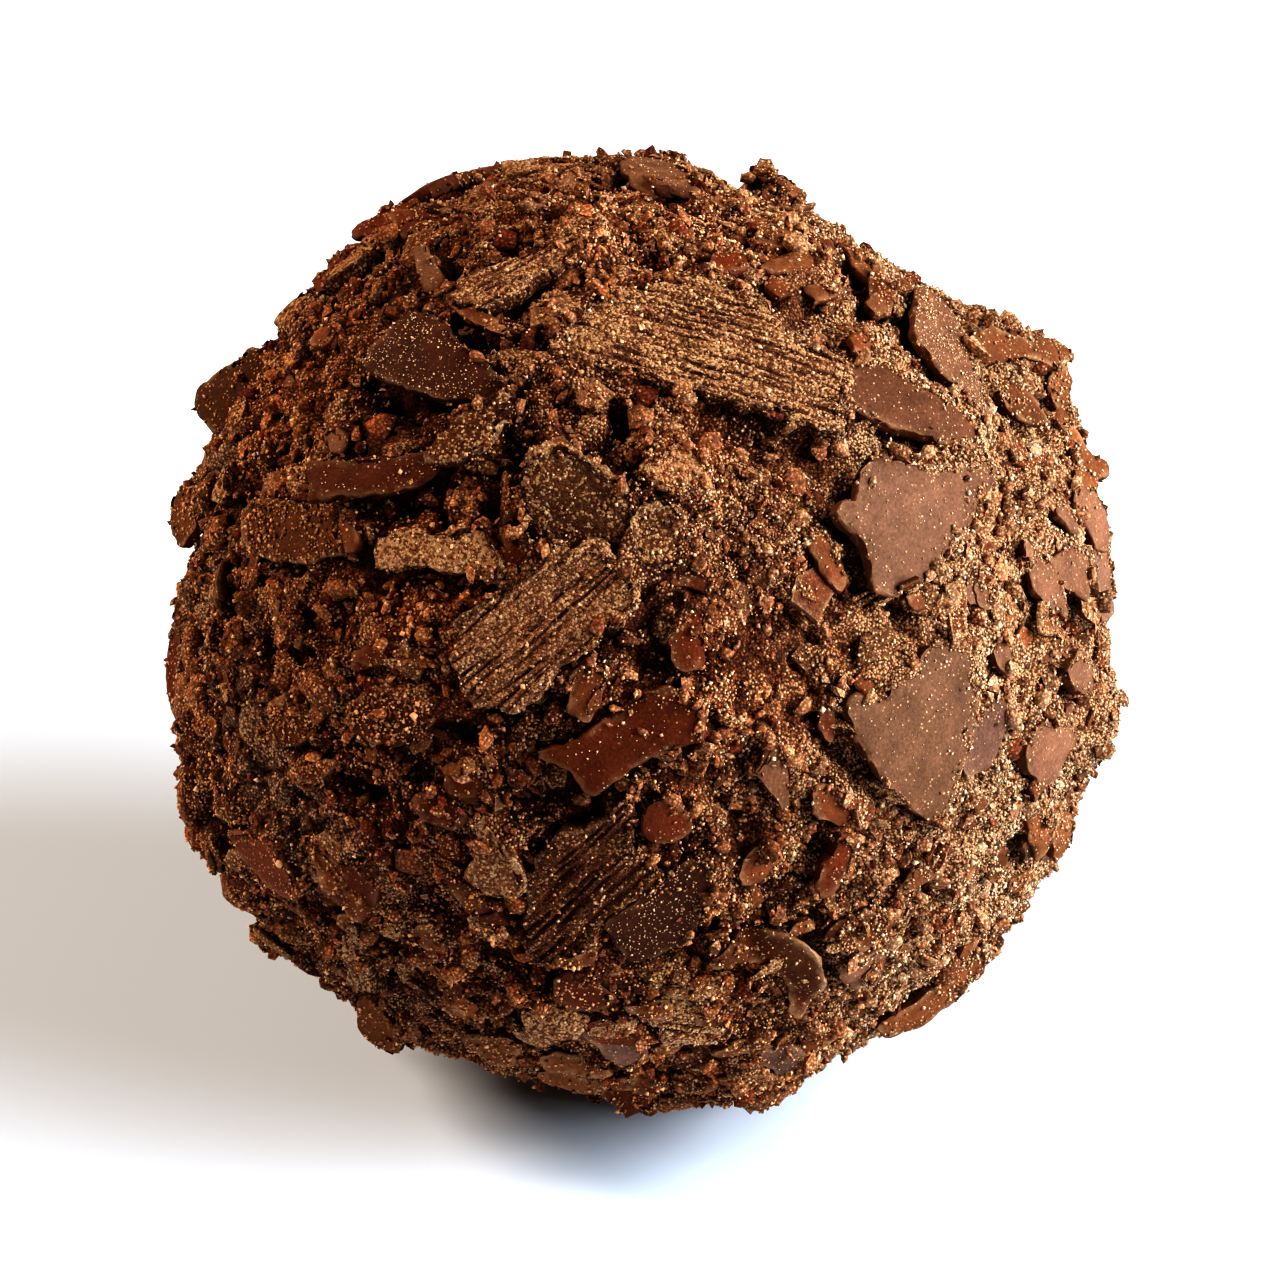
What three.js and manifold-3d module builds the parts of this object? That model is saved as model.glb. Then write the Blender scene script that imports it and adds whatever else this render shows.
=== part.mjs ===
// Chocolate truffle: a hand-rolled ball with a craggy coat of crumbled chocolate, in which the larger flakes of
// shaved chocolate sit, each in a shallow seat. Millimetres, +Z up, the flat spot that it rests on at z = 0 and the
// origin under the middle of its box.
import * as THREE from "three";
import { mergeVertices } from "three/addons/utils/BufferGeometryUtils.js";
import Module from "manifold-3d";

// ---- driving dimensions (mm, degrees) ----
const BALL_RADIUS = 15.62; // mean radius of the crumbled coat, between the flakes
const FOOT_RADIUS = 5.2; // the small flat spot under the ball
const BALL_DETAIL = 10; // each side of the starting icosahedron is split into this many plus one
const SWELL = 0.28; // broad unevenness of a hand-rolled ball, either way
const SWELL_SIZE = 9; // distance from one swell to the next
const CRAG = 0.34; // height of the clods of crumb that make the coat uneven
const CRAG_SIZE = 3.1; // width of one clod
const LEAN = 30; // the ball's lobes lie round an axis this far above level, pointing to the front
// lobes round that axis: number of lobes, height along the first direction, height along the one between
const LOBES = [
  [2, 0.08, -0.09],
  [3, 0.19, 0.02],
  [4, -0.04, 0.29],
  [6, -0.17, 0.0],
];
// lumps of clotted crumb that stand out of the coat: longitude, latitude, height, width
const LUMPS = [
  [101, 37, 1.0, 2.6],
  [168, 73, 0.5, 1.3],
  [-96, 22, 0.5, 2.2],
  [-152, -30, 0.6, 2.4],
  [72, -28, 0.4, 3.2],
  [150, 5, 0.6, 3.4],
  [-140, 40, 0.5, 3.0],
];
const SEAT_GAP = 0.3; // air between a flake and its seat
const FLAKE_STEP = 1.35; // size of one facet on a flake
const RAGGED = 0.16; // how far a flake's broken edge wanders
const RIDGE_PITCH = 0.62; // shaving marks on the ridged slabs
const RIDGE_DEPTH = 0.16;

// thickness, radius of the bend along and across, for each kind of flake
const KINDS = {
  ridged: { thick: 0.95, along: 34, across: 22, colour: 0x8a5a36, rough: 0.88 },
  smooth: { thick: 0.62, along: 26, across: 22, colour: 0x8a5640, rough: 0.5 },
  dark: { thick: 0.7, along: 24, across: 20, colour: 0x54281a, rough: 0.46 },
  dusty: { thick: 0.8, along: 24, across: 18, colour: 0x6b4228, rough: 0.9 },
};

// The flakes: name, kind, longitude (0 at the front, + to the right), latitude, spin of the long side from level,
// length, width, how much of the length is broken off at each corner (far left, far right, near right, near left),
// lift of the middle, rise of the long end, rise of the far side.
const FLAKES = [
  ["slab_top", "ridged", 20.5, 66.8, -30, 9.4, 5.1, [0.28, 0.4, 0.02, 0.0], 0.15, 3, 2],
  ["slab_mid", "ridged", -14.1, 30.5, 48, 6.4, 3.4, [0.08, 0.13, 0.0, 0.07], 0.25, 2, 3],
  ["slab_low", "ridged", -7.4, -0.1, 42, 6.5, 3.5, [0.3, 0.0, 0.16, 0.02], 0.05, 0, 2],
  ["slab_rolled", "ridged", -51.5, 73.9, 80, 5.9, 2.3, [0.07, 0.02, 0.25, 0.07], 0.2, 0, 0],
  ["chip_right", "smooth", 44.8, 39.5, 20, 7.3, 3.9, [0.08, 0.45, 0.06, 0.03], 0.3, 0, 2],
  ["chip_low_right", "smooth", 34.4, 15.7, 50, 5.5, 5.3, [0.2, 0.46, 0.2, 0.02], 0.35, -2, 2],
  ["chip_upper", "smooth", 55.6, 47.6, -58, 5.7, 2.5, [0.05, 0.06, 0.42, 0.05], 0.2, 0, -3],
  ["chip_under", "smooth", 46.2, 10.0, 45, 2.8, 1.5, [0.3, 0.16, 0.11, 0.14], 0.1, 0, 0],
  ["chip_small", "smooth", 56.4, 3.6, -60, 2.8, 2.5, [0.42, 0.02, 0.14, 0.07], 0.3, 2, 0],
  ["chip_rim", "smooth", 77.8, 14.2, 62, 2.6, 1.9, [0.03, 0.16, 0.03, 0.12], 0.3, 0, 0],
  ["chip_speckled", "smooth", 78.2, 52.0, 32, 4.9, 2.3, [0.25, 0.36, 0.07, 0.05], 0.25, 0, 0],
  ["chip_long", "dark", -2.2, 18.2, 30, 5.3, 2.2, [0.02, 0.12, 0.08, 0.15], 0.3, 0, -3],
  ["chip_fold", "dark", -48.2, 57.0, 2, 6.3, 2.9, [0.1, 0.5, 0.4, 0.02], 0.35, 4, 3],
  ["chip_fold_lower", "dusty", -35.5, 51.5, 63, 3.2, 1.5, [0.02, 0.3, 0.07, 0.11], 0.1, 0, 0],
  ["bar_left", "dark", -48.1, 41.1, 25, 5.5, 1.8, [0.02, 0.08, 0.36, 0.04], 0.35, 0, 4],
  ["bar_dusty", "dusty", -30.3, 36.9, 10, 4.7, 1.5, [0.3, 0.11, 0.02, 0.02], 0.2, 0, 3],
  ["shell_centre", "dusty", -9.0, 44.6, -10, 5.0, 2.6, [0.08, 0.14, 0.12, 0.1], 0.1, 0, 4],
  ["chip_dark_low", "dark", 3.3, -3.6, 45, 4.7, 2.2, [0.08, 0.09, 0.34, 0.16], 0.0, 0, 0],
  ["chip_lower_left", "dark", -49.7, -8.8, 32, 3.2, 2.5, [0.08, 0.04, 0.04, 0.4], 0.1, 0, 0],
  ["chip_hollow", "dark", -33.9, -5.0, 45, 3.9, 1.5, [0.14, 0.36, 0.4, 0.06], 0.0, 0, 0],
  ["strip_low", "ridged", -37.3, -18.0, 78, 4.3, 1.2, [0.09, 0.08, 0.26, 0.18], 0.2, 0, 0],
  ["chip_left_edge", "dark", -97.4, 31.5, 22, 3.5, 2.6, [0.05, 0.17, 0.3, 0.14], 0.7, 8, 6],
  ["chip_frosted", "dusty", -18.5, 2.3, -65, 3.0, 1.8, [0.04, 0.05, 0.14, 0.5], 0.15, 0, 0],
  ["chip_red", "dark", 5.8, 29.7, 68, 2.2, 1.4, [0.2, 0.16, 0.05, 0.11], 0.1, 0, 0],
  ["curl_low", "dark", 18.0, -14.0, -60, 5.2, 1.8, [0.18, 0.4, 0.04, 0.04], 0.1, 0, 0],
  ["chip_crown", "smooth", 176, 74.5, -65, 4.6, 1.6, [0.06, 0.28, 0.3, 0.08], 0.3, 0, 0],
  ["pellet_front", "dark", 2.5, 8.4, -45, 1.7, 1.4, [0.12, 0.15, 0.19, 0.22], 0.2, 0, 0],
  ["pellet_right", "dark", 22.1, 0.5, 70, 2.2, 1.0, [0.22, 0.17, 0.1, 0.05], 0.25, 0, 0],
  ["slab_layers", "ridged", 4.9, -21.3, 12, 2.9, 2.2, [0.1, 0.05, 0.06, 0.2], 0.1, 0, 0],
  ["slab_back", "ridged", 156, 34, 24, 7.6, 4.0, [0.15, 0.3, 0.05, 0.05], 0.2, 0, 2],
  ["slab_back_low", "ridged", -128, -6, -38, 6.2, 3.2, [0.05, 0.2, 0.1, 0.2], 0.15, 0, 0],
  ["chip_back_wide", "smooth", -168, 12, 66, 6.6, 4.3, [0.2, 0.1, 0.35, 0.05], 0.3, 2, 0],
  ["chip_back_low", "smooth", 138, -12, -20, 5.2, 3.1, [0.08, 0.35, 0.1, 0.1], 0.25, 0, 2],
  ["chip_back_dark", "dark", -146, 47, 12, 5.6, 2.7, [0.1, 0.05, 0.3, 0.2], 0.3, 0, 3],
  ["chip_back_long", "dark", 112, 4, 74, 5.0, 1.9, [0.05, 0.1, 0.2, 0.1], 0.25, 0, 0],
  ["bar_back", "dusty", -112, 54, -52, 4.6, 1.7, [0.05, 0.2, 0.05, 0.1], 0.2, 0, 0],
  ["chip_back_small", "smooth", 178, -24, -8, 3.6, 2.4, [0.2, 0.1, 0.1, 0.2], 0.2, 0, 0],
  ["chip_side", "smooth", -92, -2, 56, 4.0, 2.5, [0.1, 0.2, 0.08, 0.2], 0.2, 0, 0],
];

const COAT = { colour: 0x6f452b, rough: 0.92 };
const rad = THREE.MathUtils.degToRad;

const wasm = await Module();
wasm.setup();

// ---- repeatable unevenness ----
// A fraction from 0 to 1 for a point of a whole-number lattice.
function hash(i, j, k, salt) {
  let h = (i * 374761393 + j * 668265263 + k * 2147483647 + salt * 1274126177) | 0;
  h = Math.imul(h ^ (h >>> 13), 1274126177);
  h = Math.imul(h ^ (h >>> 16), 2246822519);
  return ((h ^ (h >>> 15)) >>> 0) / 4294967296;
}

// Smooth swells, from -1 to 1.
function swell(p, salt) {
  const c = [Math.floor(p.x), Math.floor(p.y), Math.floor(p.z)];
  const f = [p.x - c[0], p.y - c[1], p.z - c[2]].map((t) => t * t * (3 - 2 * t));
  let sum = 0;
  for (let n = 0; n < 8; n++) {
    const b = [n & 1, (n >> 1) & 1, (n >> 2) & 1];
    const w = b.reduce((a, on, i) => a * (on ? f[i] : 1 - f[i]), 1);
    sum += w * hash(c[0] + b[0], c[1] + b[1], c[2] + b[2], salt);
  }
  return sum * 2 - 1;
}

// Clods: each nearest seed point owns a tilted facet, which drops towards its border with the next clod.
function clods(p, salt) {
  const c = [Math.floor(p.x), Math.floor(p.y), Math.floor(p.z)];
  let near = null,
    second = Infinity;
  for (let i = -1; i <= 1; i++)
    for (let j = -1; j <= 1; j++)
      for (let k = -1; k <= 1; k++) {
        const at = [c[0] + i, c[1] + j, c[2] + k];
        const seed = new THREE.Vector3(...at.map((v, n) => v + hash(...at, salt + n)));
        const d = seed.distanceTo(p);
        if (!near || d < near.d) {
          if (near) second = near.d;
          near = { d, seed, at };
        } else if (d < second) second = d;
      }
  const tilt = new THREE.Vector3(...[5, 6, 7].map((n) => hash(...near.at, salt + n) - 0.5));
  const facet = p.clone().sub(near.seed).dot(tilt) * 1.4 + hash(...near.at, salt + 9) - 0.5;
  return facet - 0.7 * Math.max(0, 1 - (second - near.d) / 0.3);
}

// ---- the ball ----
const direction = (lon, lat) =>
  new THREE.Vector3(
    Math.sin(rad(lon)) * Math.cos(rad(lat)),
    -Math.cos(rad(lon)) * Math.cos(rad(lat)),
    Math.sin(rad(lat)),
  );

function coatRadius(d) {
  const up = Math.sin(rad(LEAN)) * d.y + Math.cos(rad(LEAN)) * d.z;
  const reach = Math.hypot(d.x, up),
    turn = Math.atan2(up, d.x);
  let r = BALL_RADIUS;
  for (const [n, a, b] of LOBES)
    r += reach ** n * (a * Math.cos(n * turn) + b * Math.sin(n * turn));
  for (const [lon, lat, high, wide] of LUMPS) {
    const away = direction(lon, lat).angleTo(d) * BALL_RADIUS;
    r += high * Math.exp(-((away / wide) ** 2));
  }
  const at = d.clone().multiplyScalar(BALL_RADIUS);
  r += SWELL * swell(at.clone().divideScalar(SWELL_SIZE), 3);
  r += CRAG * clods(at.divideScalar(CRAG_SIZE), 11);
  return r;
}

const FOOT_DROP = Math.sqrt(BALL_RADIUS ** 2 - FOOT_RADIUS ** 2); // from the middle down to the flat spot

function bare(geometry) {
  geometry.deleteAttribute("normal");
  geometry.deleteAttribute("uv");
  return mergeVertices(geometry, 1e-4);
}

function ballGeometry() {
  const g = bare(new THREE.IcosahedronGeometry(1, BALL_DETAIL));
  const p = g.attributes.position,
    d = new THREE.Vector3();
  for (let i = 0; i < p.count; i++) {
    d.fromBufferAttribute(p, i).normalize();
    const r = coatRadius(d);
    p.setXYZ(i, d.x * r, d.y * r, d.z * r);
  }
  return g;
}

// ---- the flakes ----
// A flake is a bent plate. u runs along it and v across it, both from -1 to 1. grow widens it all round and below,
// and tall raises its top, which together make the seat that is cut for it.
function plate(row, salt, grow = 0, tall = 0) {
  const [, kindName, , , , length, width, trims] = row;
  const kind = KINDS[kindName];
  const nu = THREE.MathUtils.clamp(Math.round(length / FLAKE_STEP), 2, 7);
  const ridges = kindName === "ridged" && !grow ? Math.round(width / RIDGE_PITCH) : 0;
  const nv = ridges ? ridges * 2 : THREE.MathUtils.clamp(Math.round(width / FLAKE_STEP), 2, 5);
  const ragged = (k) => RAGGED * (2 * hash(Math.round(k * 1.7), 0, 0, salt) - 1);
  const at = (u, v) => {
    const far = (v + 1) / 2;
    const left = trims[3] + (trims[0] - trims[3]) * far,
      right = trims[2] + (trims[1] - trims[2]) * far;
    // the shorter sides are broken ragged, the same on the flake and on its seat
    const l = length * (-0.5 + left) + ragged(v * 3 + 10),
      r = length * (0.5 - right) + ragged(v * 3 + 40);
    const x = l + (r - l) * ((u + 1) / 2),
      y = (width / 2) * v + ragged(u * 3 + 70) * Math.abs(v);
    return [x, y];
  };
  const sx = (length + 2 * grow) / length,
    sy = (width + 2 * grow) / width;
  const height = (x, y) => -(x * x) / (2 * kind.along) - (y * y) / (2 * kind.across);
  const points = [],
    faces = [];
  const layer = (side) => {
    const first = points.length / 3;
    for (let j = 0; j <= nv; j++)
      for (let i = 0; i <= nu; i++) {
        let [x, y] = at((2 * i) / nu - 1, (2 * j) / nv - 1);
        x *= sx;
        y *= sy;
        let z = height(x, y) + (side > 0 ? tall : -kind.thick - grow);
        if (side > 0 && ridges && j % 2 === 1) z += RIDGE_DEPTH * (0.6 + 0.4 * hash(j, i, 0, salt));
        points.push(x, y, z);
      }
    return first;
  };
  const top = layer(1),
    under = layer(-1),
    row1 = nu + 1;
  for (let j = 0; j < nv; j++)
    for (let i = 0; i < nu; i++) {
      const a = j * row1 + i,
        b = a + 1,
        c = a + row1,
        d = c + 1;
      faces.push(top + a, top + b, top + d, top + a, top + d, top + c);
      faces.push(under + a, under + d, under + b, under + a, under + c, under + d);
    }
  const rim = [];
  for (let i = 0; i < nu; i++) rim.push(i);
  for (let j = 0; j < nv; j++) rim.push(j * row1 + nu);
  for (let i = nu; i > 0; i--) rim.push(nv * row1 + i);
  for (let j = nv; j > 0; j--) rim.push(j * row1);
  rim.forEach((a, n) => {
    const b = rim[(n + 1) % rim.length];
    faces.push(top + a, under + a, under + b, top + a, under + b, top + b);
  });
  const g = new THREE.BufferGeometry();
  g.setAttribute("position", new THREE.Float32BufferAttribute(points, 3));
  g.setIndex(faces);
  return g;
}

// Where a flake sits: turned to its longitude and latitude, raised to the coat, spun and tipped.
function seatMatrix([, , lon, lat, spin, , , , lift, tip, lean]) {
  const out = direction(lon, lat);
  const east = new THREE.Vector3(Math.cos(rad(lon)), Math.sin(rad(lon)), 0);
  const north = out.clone().cross(east);
  const turn = new THREE.Matrix4().makeBasis(east, north, out);
  const local = new THREE.Matrix4()
    .makeRotationZ(rad(spin))
    .multiply(new THREE.Matrix4().makeRotationY(-rad(tip)))
    .multiply(new THREE.Matrix4().makeRotationX(rad(lean)));
  const smooth = BALL_RADIUS + 0.22 + lift;
  return new THREE.Matrix4()
    .makeTranslation(out.multiplyScalar(smooth))
    .multiply(turn)
    .multiply(local);
}

// ---- solids ----
const toSolid = (geometry) =>
  new wasm.Manifold(
    new wasm.Mesh({
      numProp: 3,
      vertProperties: new Float32Array(geometry.attributes.position.array),
      triVerts: new Uint32Array(geometry.index.array),
    }),
  );

function toGeometry(solid) {
  const m = solid.getMesh();
  const g = new THREE.BufferGeometry();
  g.setAttribute("position", new THREE.BufferAttribute(new Float32Array(m.vertProperties), 3));
  g.setIndex(new THREE.BufferAttribute(new Uint32Array(m.triVerts), 1));
  return g;
}

// The largest piece of a solid, since a cut may leave a sliver loose.
const whole = (solid) =>
  solid.decompose().reduce((a, b) => (b.volume() > a.volume() ? b : a));

const placed = FLAKES.map((row, n) => {
  const matrix = seatMatrix(row);
  return {
    name: row[0],
    kind: KINDS[row[1]],
    matrix,
    solid: toSolid(plate(row, n * 7 + 1).applyMatrix4(matrix)),
    seat: toSolid(plate(row, n * 7 + 1, SEAT_GAP, 4).applyMatrix4(matrix)),
  };
});
// Where two flakes meet, the later one is broken off short of the earlier one's seat.
placed.forEach((flake, n) => {
  for (const other of placed.slice(0, n))
    if (flake.solid.intersect(other.seat).volume() > 0)
      flake.solid = whole(flake.solid.subtract(other.seat));
});

const below = bare(new THREE.BoxGeometry(60, 60, 20)).translate(0, 0, -FOOT_DROP - 10);
let coat = toSolid(ballGeometry());
for (const flake of placed) coat = coat.subtract(flake.seat);
coat = whole(coat.subtract(toSolid(below)));

// ---- the assembly ----
const material = ({ colour, rough }) =>
  new THREE.MeshStandardMaterial({ color: colour, roughness: rough, metalness: 0, flatShading: true });

const truffle = new THREE.Group();
const ball = new THREE.Group(); // its origin is the middle of the ball
truffle.add(ball);

const body = new THREE.Mesh(toGeometry(coat), material(COAT));
body.name = "coated_ball";
ball.add(body);

for (const flake of placed) {
  const g = toGeometry(flake.solid).applyMatrix4(flake.matrix.clone().invert());
  const mesh = new THREE.Mesh(g, material(flake.kind));
  mesh.name = flake.name;
  mesh.applyMatrix4(flake.matrix);
  ball.add(mesh);
}

// The flat spot goes to z = 0, and the middle of the box over the origin.
const box = new THREE.Box3().setFromObject(ball, true);
ball.position.set(-(box.min.x + box.max.x) / 2, -(box.min.y + box.max.y) / 2, FOOT_DROP);

export default truffle;
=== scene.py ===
"""Looks of the chocolate truffle: a crumb coat with broken shavings pressed into it, and loose crumbs and dust on top.

Everything is made in millimetres round the middle of the ball and scaled to metres last.
"""

import math

import bpy
import numpy as np
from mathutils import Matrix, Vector
from mathutils.geometry import delaunay_2d_cdt


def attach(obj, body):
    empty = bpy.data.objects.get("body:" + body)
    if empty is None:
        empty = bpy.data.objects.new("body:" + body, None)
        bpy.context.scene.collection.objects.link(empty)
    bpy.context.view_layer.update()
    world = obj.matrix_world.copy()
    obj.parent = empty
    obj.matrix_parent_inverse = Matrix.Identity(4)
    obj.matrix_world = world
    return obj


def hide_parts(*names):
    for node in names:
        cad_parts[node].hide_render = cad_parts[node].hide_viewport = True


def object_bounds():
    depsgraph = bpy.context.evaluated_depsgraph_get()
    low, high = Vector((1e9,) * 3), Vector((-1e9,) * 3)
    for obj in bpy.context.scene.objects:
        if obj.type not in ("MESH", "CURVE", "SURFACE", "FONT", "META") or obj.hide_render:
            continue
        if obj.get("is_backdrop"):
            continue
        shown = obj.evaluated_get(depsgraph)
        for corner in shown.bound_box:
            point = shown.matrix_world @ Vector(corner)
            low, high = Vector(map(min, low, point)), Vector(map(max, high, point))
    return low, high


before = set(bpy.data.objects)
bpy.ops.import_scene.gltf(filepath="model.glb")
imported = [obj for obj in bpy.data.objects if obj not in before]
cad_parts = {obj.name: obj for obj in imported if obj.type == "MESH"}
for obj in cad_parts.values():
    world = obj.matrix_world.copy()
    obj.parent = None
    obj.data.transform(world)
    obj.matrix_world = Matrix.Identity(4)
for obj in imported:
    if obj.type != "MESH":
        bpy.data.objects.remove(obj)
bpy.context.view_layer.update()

# ---- the ball, as in the CAD ----
BALL_RADIUS = 15.62
BALL_AT = np.array([0.1565, 0.0657, 14.729])  # its middle, in the row frame
SWELL, SWELL_SIZE = 0.28, 9
LEAN = math.radians(30)
LOBES = [(1, -0.19, 0.06), (2, 0.08, -0.09), (3, 0.19, 0.02), (4, -0.04, 0.29), (6, -0.17, 0.0)]
LUMPS = [
    (101, 37, 1.0, 2.6),
    (168, 73, 0.2, 1.3),
    (-96, 22, 0.5, 2.2),
    (-152, -30, 0.6, 2.4),
    (72, -28, 0.4, 3.2),
    (150, 5, 0.6, 3.4),
    (-140, 40, 0.5, 3.0),
]
# Bulges and dents along the outline that the camera sees: angle in the picture, mm, width in mm.
OUTLINE = [
    (48, -0.65, 1.4),
    (63, 0.45, 1.5),
    (71, 0.35, 1.2),
    (93, -0.3, 1.5),
    (126, -0.5, 1.3),
    (162, -0.5, 1.3),
    (174, 0.75, 1.2),
    (191, 0.35, 1.0),
    (200, 0.62, 3.2),
    (213, 0.4, 1.2),
    (223, -0.4, 1.2),
    (240, 0.55, 1.2),
    (257, -0.8, 2.2),
    (283, 1.0, 2.0),
    (324, 0.25, 1.2),
    (341, -0.5, 1.0),
    (349, 1.15, 1.6),
]
# thickness, radius of the bend along and across
KINDS = {
    "grey": (0.4, 24, 20),
    "brown": (0.45, 20, 16),
    "ridged": (0.7, 30, 22),
    "smooth": (0.5, 24, 22),
    "dark": (0.55, 24, 20),
    "dusty": (0.6, 22, 18),
    "red": (0.4, 20, 16),
}
# Chocolate, as linear colours.
MILK = (0.172, 0.086, 0.051)
BROWN = (0.152, 0.062, 0.027)
DARK = (0.128, 0.035, 0.014)
RED = (0.165, 0.060, 0.025)
DUSTY = (0.215, 0.090, 0.040)
RIDGED = (0.240, 0.108, 0.052)
TAN = (0.440, 0.285, 0.165)
GOLD = (0.590, 0.440, 0.280)
CREAM = (0.800, 0.680, 0.500)
GREY = (0.150, 0.085, 0.062)
# AMBER and UMBER are painted into hollows and grooves as shade: amber is the warm shade, umber the deepest.
AMBER = (0.165, 0.050, 0.013)
UMBER = (0.060, 0.016, 0.005)
HUES = {"brown": BROWN, "grey": GREY, "ridged": RIDGED, "smooth": MILK, "dark": DARK, "dusty": DUSTY, "red": RED}

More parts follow.
